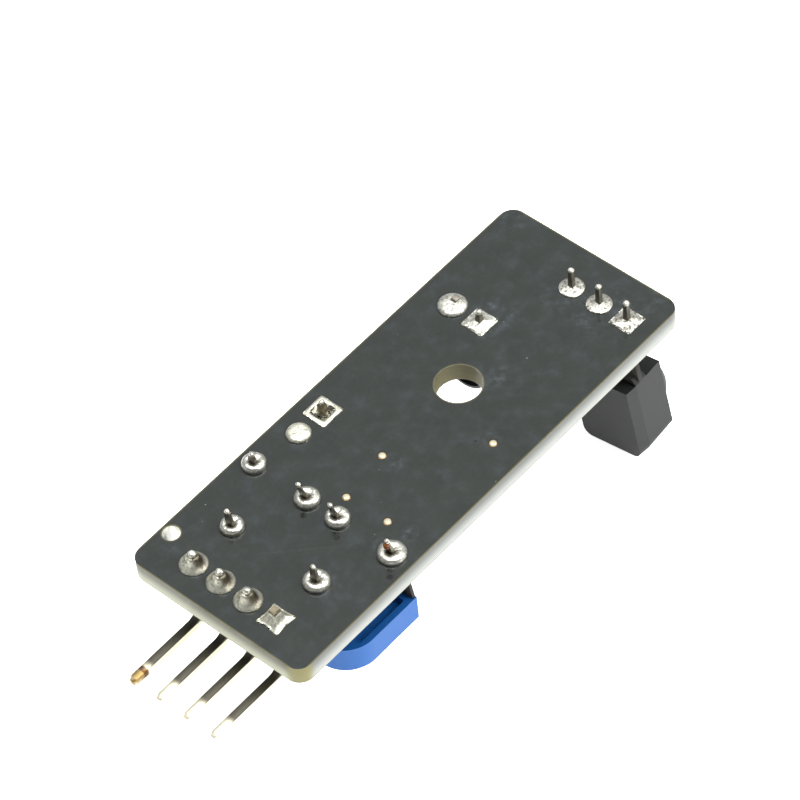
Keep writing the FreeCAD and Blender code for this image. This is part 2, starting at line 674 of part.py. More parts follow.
def emitter_lead(order):
    """A square lead that comes out of the flange and turns into the board."""
    side = size("lead_thickness")
    y = size("emitter_middle") + (1.5 - order) * size("emitter_pitch")
    x = size("emitter_row")
    axis = -size("board_thickness") - emitter_axis_height()
    flange = x + size("emitter_setback")
    line = [Vector(x, 0, size("emitter_tail")), Vector(x, 0, axis), Vector(flange, 0, axis)]
    shape = prism([point + Vector(0, y - side / 2, 0) for point in strip(line, side)], Vector(0, side, 0))
    new_part("emitter_lead_%d" % order, shape)


def emitter_sleeve():
    """A thin black sleeve shrunk over the lens, with a gap where the leads leave it."""
    wall, gap = size("sleeve_wall"), size("sleeve_gap")
    start = -size("sleeve_behind")
    flange = size("emitter_setback")
    flange_end = flange + size("flange_thickness")
    end = flange + size("emitter_length") + size("sleeve_ahead")
    back = size("sleeve_back_radius")
    big, lens = size("flange_radius") + gap, size("emitter_radius") + gap
    step = (big - lens)
    inner = [(start, back - wall), (flange - gap - wall, back - wall), (flange - gap, big),
             (flange_end + gap, big), (flange_end + gap + step, lens), (end, lens)]
    outer = [(end, lens + wall), (flange_end + gap + step, lens + wall), (flange_end + gap, big + wall),
             (flange - gap - wall, big + wall), (flange - gap - 2 * wall, back), (start, back)]
    sleeve = revolve_along_x(inner + outer)
    notch = -start + size("lead_thickness") + size("sleeve_notch_gap")
    width = size("emitter_pitch") + 2 * size("lead_thickness")
    sleeve = sleeve.cut(slab(start + notch / 2, 0, 0, notch, width, 2 * big))
    new_part("emitter_sleeve", sleeve, emitter_place())


# Receiver: built upright below the board, then leaned sideways about X

def lean_placement():
    pivot = Vector(number(RECEIVER_ROW), size("receiver_middle"), -size("board_thickness"))
    return Placement(pivot, Rotation(Vector(1, 0, 0), -size("receiver_lean")))


def receiver_body():
    label = "receiver_body"
    body = new_body(label)
    parting = "-{receiver_parting}"
    for half, depth, reverse in (("back", "{receiver_back}-{receiver_parting}", True),
                                 ("front", "{receiver_front}+{receiver_parting}", False)):
        outline = new_sketch(body, "receiver_%s_outline" % half, "YZ_Plane", offset=parting)
        add_box(outline, "0", "-{receiver_lift}-{receiver_height}/2", "{receiver_width}", "{receiver_height}")
        round_corner(outline, 0, "{receiver_corner}")
        round_corner(outline, 1, "{receiver_corner}")
        pad = add_pad(body, outline, "receiver_%s_half" % half, depth, reverse=reverse)
        pad.setExpression("TaperAngle", "-" + formula("{receiver_draft}"))
        doc.recompute()
    receiver_lens(body)
    receiver_rib(body)
    body.Placement = lean_placement()


def receiver_lens(body):
    """The domed lens on the front, nearer to the far end."""
    axis = "{receiver_front}+{receiver_bulge}-{receiver_lens}"
    centre = "{receiver_height}-{receiver_lens_top}-{receiver_lens}"
    dome = body.newObject("PartDesign::AdditiveSphere", "receiver_lens_dome")
    dome.setExpression("Radius", formula("{receiver_lens}"))
    dome.AttachmentSupport = [(origin_plane(body, "XY_Plane"), "")]
    dome.MapMode = "FlatFace"
    dome.setExpression("AttachmentOffset.Base.x", formula(axis))
    dome.setExpression("AttachmentOffset.Base.z", formula("-{receiver_lift}-(%s)" % centre))


def receiver_rib(body):
    """Steps the lead end down on both sides of a rib with sloped ends, and seats the leads."""
    behind = "({receiver_back}-{receiver_parting})"
    before = "({receiver_front}+{receiver_bulge}+{receiver_parting}-{receiver_rib})"
    ends = new_sketch(body, "receiver_steps", offset="-{receiver_lift}")
    add_box(ends, "-{receiver_parting}-%s" % behind, "0", "2*%s" % behind, "2*{receiver_width}")
    add_box(ends, "{receiver_rib}-{receiver_parting}+%s" % before, "0", "2*%s" % before, "2*{receiver_width}")
    add_pocket(body, ends, "receiver_end_steps", "{receiver_step}")
    slopes = new_sketch(body, "receiver_slopes", "YZ_Plane", offset="-{receiver_parting}")
    for side in ("", "-"):
        add_polygon(slopes, [
            (side + "({receiver_width}/2-{receiver_slope})", "-{receiver_lift}"),
            (side + "({receiver_width}/2+{receiver_slope})", "-{receiver_lift}"),
            (side + "({receiver_width}/2)", "-{receiver_lift}-{receiver_step}"),
        ])
    add_pocket(body, slopes, "receiver_rib_slopes", "{receiver_rib}", reverse=True)
    seats = new_sketch(body, "receiver_seats", offset="-{receiver_lift}")
    for step in steps(RECEIVER_LEAD_COUNT):
        add_box(seats, "0", "(%s)*{receiver_pitch}" % step, "{receiver_lead_sheet}", "{receiver_lead_width}")
    add_pocket(body, seats, "receiver_lead_seats", "{receiver_seat}")


def leaned(across, down):
    """A point of the leaning receiver: along its row of leads, and down from the board."""
    lean = math.radians(size("receiver_lean"))
    return Vector(0, size("receiver_middle") + across * math.cos(lean) - down * math.sin(lean),
                  -size("board_thickness") - across * math.sin(lean) - down * math.cos(lean))


def receiver_lead(order):
    """A flat lead, straight through the board and leaning with the block below it."""
    sheet_thickness, width = size("receiver_lead_sheet"), size("receiver_lead_width")
    across = steps(RECEIVER_LEAD_COUNT)[order - 1] * size("receiver_pitch")
    y = size("receiver_middle") + across
    neck = size("receiver_lift") - size("receiver_neck")
    seat = size("receiver_lift") + size("receiver_seat")
    outline = []
    for half in (width / 2, -width / 2):
        side = [Vector(0, y + half, size("receiver_tail")), Vector(0, y + half, -size("board_thickness")),
                leaned(across + half, neck), leaned(across + half, seat)]
        outline += side if half > 0 else side[::-1]
    offset = Vector(number(RECEIVER_ROW) - sheet_thickness / 2, 0, 0)
    shape = prism([point + offset for point in outline], Vector(sheet_thickness, 0, 0))
    new_part("receiver_lead_%d" % order, shape)


# Jumper cap with its contact strip

JUMPER_MIDDLE = "-{jumper_place}-{pin_pitch}/2"


def jumper_cap():
    body = new_body("jumper_cap")
    start = "(-{block_height}-{cap_slack})"
    outline = new_sketch(body, "jumper_cap_outline", offset=start)
    add_box(outline, "0", "0", "2*{pin_pitch}-{cap_slack}", "{cap_depth}")
    add_pad(body, outline, "jumper_cap_block", "{cap_height}", reverse=True)
    add_chamfer(body, "jumper_cap_edges", "{cap_wall}/2", upright)
    cavity = new_sketch(body, "jumper_cap_cavity", offset=start)
    for half in ("+", "-"):
        add_box(cavity, half + "{pin_pitch}/2", "0", "{pin_pitch}-2*{cap_wall}", "{cap_depth}-2*{cap_wall}")
    add_pocket(body, cavity, "jumper_cap_sockets", "{cap_height}-{cap_wall}")
    link = new_sketch(body, "jumper_cap_link", offset=start + "-{cap_height}+{cap_wall}+{clip_sheet}")
    add_box(link, "0", "0", "{pin_pitch}", "{cap_depth}-2*{cap_wall}")
    add_pocket(body, link, "jumper_cap_link_room", "{clip_sheet}")
    place(body, JUMPER_MIDDLE, "{jumper_side}", "-{board_thickness}")


def jumper_clip():
    """A strip that lies across the cap's end and bends down beside both pins."""
    start = -size("block_height") - size("cap_slack")
    end = start - size("cap_height") + size("cap_wall")
    sheet_thickness, pitch = size("clip_sheet"), size("pin_pitch")
    reach = size("cap_height") - 2 * size("cap_wall")
    cavity = size("cap_depth") - 2 * size("cap_wall")
    width = pitch - 2 * size("cap_wall")
    gap, leaf = size("clip_gap"), width - 2 * size("clip_inset")
    shape = slab(0, 0, end, pitch + width - 2 * gap, cavity - 2 * gap, sheet_thickness)
    for pin in (-pitch / 2, pitch / 2):
        for side in (-1, 1):
            leaf_y = side * (cavity / 2 - gap - sheet_thickness / 2)
            shape = shape.fuse(slab(pin, leaf_y, end, leaf, sheet_thickness, reach))
    part = new_part("jumper_clip", shape.removeSplitter())
    place(part, JUMPER_MIDDLE, "{jumper_side}", "-{board_thickness}")


# Timer chip

def chip_body():
    body = new_body("timer_chip_body")
    middle = "(-{chip_lift}-{chip_height}/2)"
    for half, reverse in (("lower", True), ("upper", False)):
        outline = new_sketch(body, "chip_%s_outline" % half, offset=middle)
        add_box(outline, "0", "0", "{chip_width}", "{chip_length}")
        pad = add_pad(body, outline, "chip_%s_half" % half, "{chip_height}/2", reverse=reverse)
        pad.setExpression("TaperAngle", formula("-atan({chip_bevel}/({chip_height}/2))"))
        doc.recompute()
    mark = new_sketch(body, "chip_mark", offset="-{chip_lift}-{chip_height}")
    add_circle(mark, "-{chip_width}/2+{chip_mark_inset}", "{chip_length}/2-{chip_mark_inset}", "{chip_mark}")
    add_pocket(body, mark, "chip_first_lead_mark", "{chip_mark_depth}", reverse=True)
    place(body, "-{chip_place}", "{chip_side}", "-{board_thickness}")


def chip_leads():
    """Eight gull-wing leads, four on each long side."""
    sheet_thickness, width = size("chip_lead_sheet"), size("chip_lead_width")
    body_edge, span = size("chip_width") / 2, size("chip_span") / 2
    middle = -size("chip_lift") - size("chip_height") / 2
    foot = -sheet_thickness / 2
    knee, slope = (body_edge + span) / 2, size("chip_lead_slope") / 2
    leads = []
    for side in (1, -1):
        line = [Vector(side * body_edge, 0, middle), Vector(side * (knee - slope), 0, middle),
                Vector(side * (knee + slope), 0, foot), Vector(side * span, 0, foot)]
        for step in steps(CHIP_LEAD_COUNT):
            y = step * size("chip_pitch") - width / 2
            points = [point + Vector(0, y, 0) for point in strip(line, sheet_thickness)]
            leads.append(prism(points, Vector(0, width, 0)))
    part = new_part("timer_chip_leads", Part.makeCompound(leads))
    place(part, "-{chip_place}", "{chip_side}", "-{board_thickness}")


# Chip resistors, capacitors and indicator lights

def chip_part_place(column, row, side):
    """Middle of a chip part from its column and its row from one of the long edges."""
    x = size("column_start") - column * size("column_pitch")
    return x, side * (size("board_width") / 2 - size("edge_row") - row * size("row_pitch"))


def small_parts(name, places, height):
    """Chip parts of one kind: their bodies in one node, their metal ends in another."""
    length, width, cap = size("small_length"), size("small_width"), size("small_cap")
    board = -size("board_thickness")
    bodies, ends = [], []
    for column, row, edge in places:
        x, y = chip_part_place(column, row, edge)
        bodies.append(slab(x, y, board - height, length - 2 * cap, width, height))
        for side in (-1, 1):
            ends.append(slab(x + side * (length - cap) / 2, y, board - height, cap, width, height))
    new_part(name + "_bodies", Part.makeCompound(bodies))
    new_part(name + "_ends", Part.makeCompound(ends))


# Solder joints: the waist of a hollow cone and of a full one

HOLLOW = (0.25, 0.4)
FULL = (0.75, 0.5)


def ring_wire(radius, z):
    """A level ring with the sides of a solder joint."""
    turns = [2 * math.pi * side / JOINT_SIDE_COUNT for side in range(JOINT_SIDE_COUNT)]
    points = [Vector(radius * math.cos(turn), radius * math.sin(turn), z) for turn in turns]
    return Part.makePolygon(points + points[:1])


def solder_joint(x, y, rise, waist, foot, square):
    """A joint around a lead: cone on the solder face, filled hole, foot below.

    The waist is where the cone's slope changes, as shares of its width and rise."""
    pad, top = size("solder_pad"), size("solder_top")
    barrel = size("lead_bore") / 2 - size("plating")
    thickness = size("board_thickness")
    cone = [(top, rise), (top + waist[0] * (pad - top), waist[1] * rise), (pad, 0)]
    joint = Part.makeLoft([ring_wire(radius, z) for radius, z in cone], True, True)
    joint = joint.fuse(Part.makeLoft([ring_wire(barrel, 0), ring_wire(barrel, -thickness)], True, True))
    if foot:
        spread = ring_wire(size("solder_foot_radius"), -thickness)
        end = ring_wire(top, -thickness - size("solder_foot"))
        joint = joint.fuse(Part.makeLoft([spread, end], True, True))
    if square:
        joint = joint.fuse(slab(0, 0, 0, 2 * pad, 2 * pad, size("solder_pad_rise")))
    joint.translate(Vector(x, y, 0))
    return joint


def solder_group(part, leads, rise, waist, foot, square_place):
    joints = []
    for order, (x, y) in enumerate(lead_holes()[part]):
        joint = solder_joint(number(x), number(y), rise, waist, foot, order == square_place)
        for lead in leads:
            if joint.BoundBox.intersect(lead.BoundBox):
                joint = joint.cut(lead)
        joints.append(joint)
    new_part("solder_" + part, Part.makeCompound(joints))


def shapes_named(start):
    doc.recompute()
    return [node.Shape for node in nodes if node.Label.startswith(start)]


def solder():
    cone, flat = size("solder_rise"), size("solder_flat")
    trimmer_a = shapes_named("trimmer_a_end") + shapes_named("trimmer_a_wiper_t")
    trimmer_b = shapes_named("trimmer_b_end") + shapes_named("trimmer_b_wiper_t")
    pins, leads = shapes_named("header_pin"), shapes_named("receiver_lead")
    solder_group("header", pins, cone, HOLLOW, False, HEADER_PIN_COUNT - 1)
    solder_group("trimmer_a", trimmer_a, cone, FULL, True, None)
    solder_group("trimmer_b", trimmer_b, cone, FULL, True, None)
    solder_group("jumper", shapes_named("jumper_pin"), cone, FULL, False, 0)
    solder_group("emitter", shapes_named("emitter_lead"), flat, FULL, True, 1)
    solder_group("receiver", leads, flat, FULL, True, RECEIVER_LEAD_COUNT - 1)


def build():
    circuit_board()
    pin_block("header_block", HEADER_PIN_COUNT, False, "-{header_end}+{header_from_end}", "{header_middle}")
    for order in range(HEADER_PIN_COUNT):
        header_pin(order + 1)
    for letter in ("a", "b"):
        trimmer_base(letter)
        trimmer_plate(letter)
        trimmer_contact(letter)
        trimmer_rotor(letter)
        end_terminal(letter, 1)
        end_terminal(letter, 2)
        wiper_terminal(letter)
    pin_block("jumper_block", JUMPER_PIN_COUNT, True, JUMPER_MIDDLE, "{jumper_side}")
    bottom = number("-{board_thickness}-{block_height}-{cap_slack}-{cap_height}+{cap_wall}"
                    "+{clip_sheet}+{jumper_pin_gap}")
    for order in range(JUMPER_PIN_COUNT):
        x = -size("jumper_place") - order * size("pin_pitch")
        straight_pin("jumper_pin_%d" % (order + 1), x, size("jumper_side"), size("jumper_tail"), bottom)
    jumper_cap()
    jumper_clip()
    emitter_lens()
    emitter_lead(1)
    emitter_lead(2)
    emitter_sleeve()
    receiver_body()
    for order in range(RECEIVER_LEAD_COUNT):
        receiver_lead(order + 1)
    chip_body()
    chip_leads()
    small_parts("resistor", RESISTORS, size("resistor_height"))
    small_parts("capacitor", CAPACITORS, size("capacitor_height"))
    small_parts("indicator", INDICATORS, size("indicator_height"))
    solder()


def check_and_write():
    doc.recompute()
    for item in doc.Objects:
        for state in item.State:
            if state in ("Invalid", "Error"):
                raise ValueError("%s is %s" % (item.Name, state))
    for node in nodes:
        if node.Shape.isNull() or not node.Shape.isValid():
            raise ValueError(node.Label + " has no valid shape")
    os.makedirs("parts", exist_ok=True)
    for node in nodes:
        node.Shape.exportStep(os.path.join("parts", node.Label + ".step"))


build()
check_and_write()
print("nodes", len(nodes))
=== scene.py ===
import bpy
import json
from math import cos, radians, sin
from mathutils import Matrix, Vector

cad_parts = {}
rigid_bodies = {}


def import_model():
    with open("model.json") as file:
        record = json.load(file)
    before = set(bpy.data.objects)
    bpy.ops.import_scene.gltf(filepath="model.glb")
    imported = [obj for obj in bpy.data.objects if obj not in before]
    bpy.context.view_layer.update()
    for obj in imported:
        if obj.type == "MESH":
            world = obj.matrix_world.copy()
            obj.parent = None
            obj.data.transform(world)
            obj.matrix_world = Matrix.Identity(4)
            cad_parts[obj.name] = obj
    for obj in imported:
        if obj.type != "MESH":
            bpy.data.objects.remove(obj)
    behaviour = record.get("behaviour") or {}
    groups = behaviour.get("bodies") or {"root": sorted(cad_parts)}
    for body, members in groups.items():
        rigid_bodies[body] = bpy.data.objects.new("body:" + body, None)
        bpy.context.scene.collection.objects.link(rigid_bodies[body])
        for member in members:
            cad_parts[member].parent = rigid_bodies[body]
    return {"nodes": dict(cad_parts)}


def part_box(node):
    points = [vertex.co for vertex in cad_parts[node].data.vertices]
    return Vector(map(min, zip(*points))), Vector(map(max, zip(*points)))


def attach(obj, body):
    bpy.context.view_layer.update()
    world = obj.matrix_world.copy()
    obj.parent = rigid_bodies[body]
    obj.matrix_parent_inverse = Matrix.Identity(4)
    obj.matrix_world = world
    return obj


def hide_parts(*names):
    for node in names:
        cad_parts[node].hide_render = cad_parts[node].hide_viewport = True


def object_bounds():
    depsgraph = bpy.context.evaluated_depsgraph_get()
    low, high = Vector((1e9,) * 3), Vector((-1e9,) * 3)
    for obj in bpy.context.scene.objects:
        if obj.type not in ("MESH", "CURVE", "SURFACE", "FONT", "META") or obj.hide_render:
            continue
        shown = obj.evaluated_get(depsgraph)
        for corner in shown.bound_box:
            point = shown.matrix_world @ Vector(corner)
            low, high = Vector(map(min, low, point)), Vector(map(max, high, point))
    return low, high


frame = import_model()
cad_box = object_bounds()
nodes = frame["nodes"]

# Every length below is in millimetres and is turned to metres where it is used

MM = 0.001

# The board and its two faces

BOARD_LOW, BOARD_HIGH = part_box("circuit_board")
SOLDER_FACE = BOARD_HIGH.z / MM
PART_FACE = BOARD_LOW.z / MM
BOARD_MIDDLE = (BOARD_LOW + BOARD_HIGH) / 2 / MM
BOARD_HALF = (BOARD_HIGH - BOARD_LOW) / 2 / MM
SECTION_LIFT = 0.02

# Solder joints: lead node, shape of joint, pad radius or half side

JOINTS = {
    "header_joints": ("solder_header", [
        ("header_pin_1", "cone", 1.08),
        ("header_pin_2", "cone", 1.08),
        ("header_pin_3", "cone", 1.08),
        ("header_pin_4", "pyramid", 1.08),
    ]),
    "trimmer_a_joints": ("solder_trimmer_a", [
        ("trimmer_a_end_terminal_1", "dome", 0.95),
        ("trimmer_a_end_terminal_2", "dome", 1.0),
        ("trimmer_a_wiper_terminal", "dome", 0.93),
    ]),
    "trimmer_b_joints": ("solder_trimmer_b", [
        ("trimmer_b_end_terminal_1", "dome", 0.96),
        ("trimmer_b_end_terminal_2", "dome", 1.1),
        ("trimmer_b_wiper_terminal", "dome", 1.03),
    ]),
    "jumper_joints": ("solder_jumper", [
        ("jumper_pin_1", "hollow_square", 1.12),
        ("jumper_pin_2", "hollow_round", 0.95),
    ]),
    "emitter_joints": ("solder_emitter", [
        ("emitter_lead_1", "drop", 1.14),
        ("emitter_lead_2", "flat_square", 1.04),
    ]),
    "receiver_joints": ("solder_receiver", [
        ("receiver_lead_1", "flat_round", 1.0),
        ("receiver_lead_2", "flat_round", 1.0),
        ("receiver_lead_3", "flat_square", 1.03),
    ]),
}

# Rings of each joint: share of the pad radius, height over the board

JOINT_RINGS = {
    "cone": [(1.0, -0.12), (1.0, 0.06), (0.93, 0.17), (0.78, 0.3), (0.62, 0.45), (0.52, 0.68), (0.46, 0.95), (0.3, 1.02)],
    "pyramid": [(1.0, -0.12), (1.0, 0.03), (0.74, 0.12), (0.54, 0.28), (0.44, 0.5), (0.38, 0.76), (0.28, 0.96), (0.12, 1.02)],
    "dome": [(1.0, -0.12), (1.0, 0.12), (0.96, 0.32), (0.84, 0.47), (0.64, 0.53), (0.42, 0.5), (0.2, 0.44)],
    "drop": [(1.0, -0.12), (1.0, 0.07), (0.95, 0.2), (0.82, 0.3), (0.6, 0.36), (0.3, 0.38)],
    "flat_round": [(1.0, -0.12), (0.99, 0.06), (0.92, 0.12), (0.68, 0.16), (0.4, 0.2), (0.26, 0.3)],
    "flat_square": [(1.0, -0.12), (1.0, 0.05), (0.92, 0.09), (0.66, 0.12), (0.4, 0.18), (0.26, 0.28)],
    "hollow_square": [(1.0, -0.12), (1.0, 0.06), (0.86, 0.12), (0.7, 0.13), (0.54, 0.06), (0.4, 0.02), (0.2, 0.02)],
    "hollow_round": [(1.0, -0.12), (1.0, 0.1), (0.9, 0.26), (0.72, 0.32), (0.5, 0.33), (0.3, 0.33), (0.16, 0.33)],
    "foot": [(1.0, -0.12), (0.97, 0.05), (0.72, 0.12), (0.5, 0.24), (0.38, 0.4)],
}
DOME_SHIFT = (0.05, -0.06)
HOLLOW_SIDES = {"pyramid": 0.13, "flat_square": 0.05, "hollow_square": 0.05}

# Dark brown patches on the joints: how far in front of the lead, and the share of the pad's radius

JOINT_DARK_PATCHES = {
    "cone": ((0.12, -0.46), 0.72), "dome": ((-0.05, -0.12), 0.56),
    "hollow_square": ((0.0, -0.1), 0.62),
}
JOINT_WAVE = {
    "cone": 0.025, "pyramid": 0.006, "dome": 0.03, "drop": 0.02, "flat_round": 0.02, "flat_square": 0.006,
    "hollow_square": 0.008, "hollow_round": 0.02, "foot": 0.02,
}
ROUND_SIDES = 28
SQUARE_CUTS = 6
FOOT_SHARE = 0.86

# Bright beads of solder on the lead tips: radius for each group of leads

TIP_BEAD = {"header_joints": 0.34, "trimmer_a_joints": 0.22, "trimmer_b_joints": 0.22,
            "jumper_joints": 0.24, "emitter_joints": 0.26, "receiver_joints": 0.25}
NO_BEAD = ("emitter_lead_1", "header_pin_4", "jumper_pin_2")
BEAD_RISE = 0.1
LEAD_ROUNDING = 0.07

# Leads shown with worn edges: how far the tip is cut back, how much the tail is narrowed,
# and how far its tip leans along X and Y

WORN_LEADS = {
    "receiver_lead_1": (0.3, 0.75, 0.0, 0.0),
    "receiver_lead_2": (0.3, 0.75, 0.0, 0.0),
    "receiver_lead_3": (0.3, 0.75, 0.0, 0.0),
    "trimmer_a_end_terminal_1": (0.75, 0.6, 0.0, 0.0),
    "trimmer_a_end_terminal_2": (0.2, 0.5, -0.3, 0.28),
    "trimmer_a_wiper_terminal": (0.15, 0.6, -0.08, 0.08),
    "trimmer_b_end_terminal_1": (0.25, 0.5, -0.25, 0.2),
    "trimmer_b_end_terminal_2": (0.4, 0.55, -0.12, 0.1),
    "trimmer_b_wiper_terminal": (0.15, 0.6, 0.0, 0.0),
    "header_pin_1": (0.2, 1.0, 0.0, 0.0),
    "header_pin_2": (0.2, 1.0, 0.0, 0.0),
    "header_pin_3": (0.2, 1.0, 0.0, 0.0),
    "header_pin_4": (0.25, 1.0, 0.0, 0.0),
    "jumper_pin_1": (0.12, 0.75, 0.0, 0.0),
    "jumper_pin_2": (0.86, 0.9, 0.0, 0.0),
    "emitter_lead_1": (0.8, 1.0, 0.46, 0.04),
    "emitter_lead_2": (0.25, 0.65, 0.0, 0.0),
}
LEAD_ROUNDING = 0.07

# Plated through holes filled with solder: centre, and a gold rim round the fill

SPARE_HOLE = (-22.3, 7.1)
VIAS = [(-8.2, 0.02), (-12.5, -0.42), (-12.36, -4.1), (-2.62, -5.41)]
VIA_RIM = 0.36
VIA_FILL = 0.25

# Copper tracks under the mask of the solder face, along their middle

TRACKS = [
    [(13.1, 6.9), (13.45, 0.4), (13.6, -6.6)],
    [(2.97, 4.3), (1.9, 5.2), (-3.4, 5.1), (-9.0, 4.9), (-10.3, 5.9)],
    [(1.3, 2.9), (-5.2, 3.9), (-9.2, 3.7), (-14.3, 1.7)],
    [(-8.2, 0.02), (-4.4, -2.4), (-2.62, -5.41)],
    [(7.1, -3.7), (-6.6, -4.5), (-10.6, -4.7)],
    [(7.2, -4.4), (-2.0, -4.9)],
    [(-20.1, 1.4), (-15.3, -3.4)],
    [(-23.3, 1.5), (-21.4, 1.5), (-19.4, 4.1)],
    [(11.7, -0.7), (9.6, 0.9), (8.0, 2.5)],
]
TRACK_WIDTH = 0.34
TRACK_RISE = 0.005

# Printed outlines round the parts of the component face

OUTLINE_WIDTH = 0.16
OUTLINE_RISE = 0.02
OUTLINE_GAP = 0.25

# Stains of dried flux on the solder face: centre, radius, strength

STAINS = [
    (6.6, 2.0, 2.3, 0.8),
    (5.0, 1.6, 1.4, 0.6),
    (11.4, -3.4, 3.6, 0.55),
    (10.4, -0.4, 2.2, 0.5),
    (13.8, -5.9, 2.0, 0.45),
    (1.5, -2.1, 1.3, 0.8),
    (2.6, -1.6, 1.0, 0.6),
    (-8.3, -1.0, 1.2, 0.7),
    (-2.5, -4.9, 1.2, 0.5),
    (-14.1, -5.4, 1.5, 0.8),
    (-12.2, -6.2, 1.1, 0.7),
    (-18.6, -4.6, 2.0, 0.5),
    (-23.2, 6.6, 1.2, 0.4),
    (14.2, 7.0, 1.8, 0.45),
]

# Painted dark reflections of three joints on the glossy mask: lead node, and how far away along X and Y

PAINTED_JOINT_REFLECTIONS = [
    ("trimmer_a_end_terminal_2", -1.05, -0.7),
    ("trimmer_b_end_terminal_1", -1.05, -0.92),
    ("trimmer_b_end_terminal_2", -1.3, -1.05),
]

# The camera stands where the photograph was taken from

PHOTO_PIXELS = 800
FOCAL_PIXELS = 4418.2
FILM_WIDTH = 36.0
CAMERA_PLACE = Vector((-141.05, -140.62, 240.01))
CAMERA_FORWARD = Vector((0.44134, 0.45915, -0.77097))
CAMERA_ROLL = radians(6.63)

# The table and the lights of the studio

TABLE_SIZE = 4000
TABLE_DROP = 0.02
TABLE_GLOW = 0.86

# Light tent: strength and tint of its white, and of the dark opening for the camera;
# the opening's edge and core as the cosine of the angle from its middle

TENT_STRENGTH = 0.6
TENT_LIGHT = (0.97, 0.99, 1.0, 1.0)
OPENING_LIGHT = (0.1, 0.1, 0.095, 1.0)
OPENING_EDGE = cos(radians(38))
OPENING_CORE = cos(radians(18))

# Lamps: place, width and height in millimetres, power in watts and tint

LAMPS = [
    ((260, -320, 420), (420, 420), 3.4, (1.0, 0.99, 0.97)),
    ((60, 60, 650), (460, 460), 6.0, (1.0, 1.0, 1.0)),
]


class Shade:
    """A socket that takes part in sums as a number does."""

    def __init__(self, finish, socket):
        self.finish = finish
        self.socket = socket

    def sum(self, operation, other, swapped=False):
        pair = (other, self) if swapped else (self, other)
        return self.finish.maths(operation, *pair)

    def __add__(self, other):
        return self.sum("ADD", other)

    def __radd__(self, other):
        return self.sum("ADD", other, True)

    def __sub__(self, other):
        return self.sum("SUBTRACT", other)

    def __rsub__(self, other):
        return self.sum("SUBTRACT", other, True)

    def __mul__(self, other):
        return self.sum("MULTIPLY", other)

    def __rmul__(self, other):
        return self.sum("MULTIPLY", other, True)

    def __truediv__(self, other):
        return self.sum("DIVIDE", other)

    def __pow__(self, other):
        return self.sum("POWER", other)


class Finish:
    """A material that is built up node by node."""

    def __init__(self, name, **fixed):
        self.material = bpy.data.materials.new(name)
        self.material.use_nodes = True
        self.tree = self.material.node_tree
        self.surface = self.tree.nodes["Principled BSDF"]
        for socket, value in fixed.items():
            self.surface.inputs[socket.replace("_", " ")].default_value = value
        self.place = self.node("ShaderNodeTexCoord", output="Object")

    def node(self, kind, settings=None, inputs=None, output=0):
        made = self.tree.nodes.new(kind)
        for name, value in (settings or {}).items():
            if name == "stops":
                self.set_stops(made.color_ramp, value)
            else:
                setattr(made, name, value)
        for name, value in (inputs or {}).items():
            if isinstance(value, Shade):
                self.tree.links.new(value.socket, made.inputs[name])
            else:
                made.inputs[name].default_value = value
        return Shade(self, made.outputs[output])

    def set_stops(self, ramp, stops):
        while len(ramp.elements) < len(stops):
            ramp.elements.new(1.0)
        for element, (position, colour) in zip(ramp.elements, stops):
            element.position = position
            element.color = colour

    def maths(self, operation, *values):
        return self.node("ShaderNodeMath", {"operation": operation}, dict(enumerate(values)))

    def axis(self, name):
        return self.node("ShaderNodeSeparateXYZ", inputs={0: self.place}, output=name) * (1 / MM)

    def noise(self, size, detail=3.0, stretch=(1, 1, 1), roughness=0.55):
        """Cloudy noise whose patches are about size millimetres across."""
        turned = self.node("ShaderNodeMapping", inputs={"Vector": self.place, "Scale": stretch})
        return self.node(
            "ShaderNodeTexNoise",
            inputs={"Vector": turned, "Scale": 1 / (size * MM), "Detail": detail, "Roughness": roughness},
        )

    def grains(self, size, stretch=(1, 1, 1)):
        """Distance to the nearest of scattered grains, about size millimetres apart."""
        turned = self.node("ShaderNodeMapping", inputs={"Vector": self.place, "Scale": stretch})
        return self.node("ShaderNodeTexVoronoi", inputs={"Vector": turned, "Scale": 1 / (size * MM)})

    def step(self, value, start, end):
        """0 before start and 1 after end, with a soft passage between."""
        return self.node(
            "ShaderNodeMapRange",
            {"interpolation_type": "SMOOTHSTEP"},
            {"Value": value, "From Min": start, "From Max": end},
        )

    def near(self, centre, start, end):
        """1 within start millimetres of a point of the board, falling to 0 at end."""
        across = self.axis("X") - centre[0]
        along = self.axis("Y") - centre[1]
        distance = (across * across + along * along) ** 0.5
        return self.step(distance, end, start)

    def blend(self, factor, first, second):
        return self.node(
            "ShaderNodeMix", {"data_type": "RGBA"}, {0: factor, 6: first, 7: second}, output=2
        )

    def most(self, first, second):
        return self.maths("MAXIMUM", first, second)

    def colour(self, value):
        self.connect("Base Color", value)

    def rough(self, value):
        self.connect("Roughness", value)

    def metal(self, value):
        self.connect("Metallic", value)

    def bump(self, height, depth):
        """Relief of depth millimetres where height goes from 0 to 1."""
        raised = self.node(
            "ShaderNodeBump", inputs={"Height": height, "Distance": depth * MM, "Strength": 1.0}
        )
        self.connect("Normal", raised)

    def connect(self, name, value):
        self.tree.links.new(value.socket, self.surface.inputs[name])

    def give(self, *names):
        """Gives the finish to CAD nodes."""
        for name in names:
            nodes[name].data.materials.clear()
            nodes[name].data.materials.append(self.material)


def tone(red, green, blue):
    """Colour as seen on a screen, 0 to 255, turned to the light that a shader mixes."""
    def light(value):
        share = value / 255
        return share / 12.92 if share <= 0.04045 else ((share + 0.055) / 1.055) ** 2.4
    return (light(red), light(green), light(blue), 1.0)


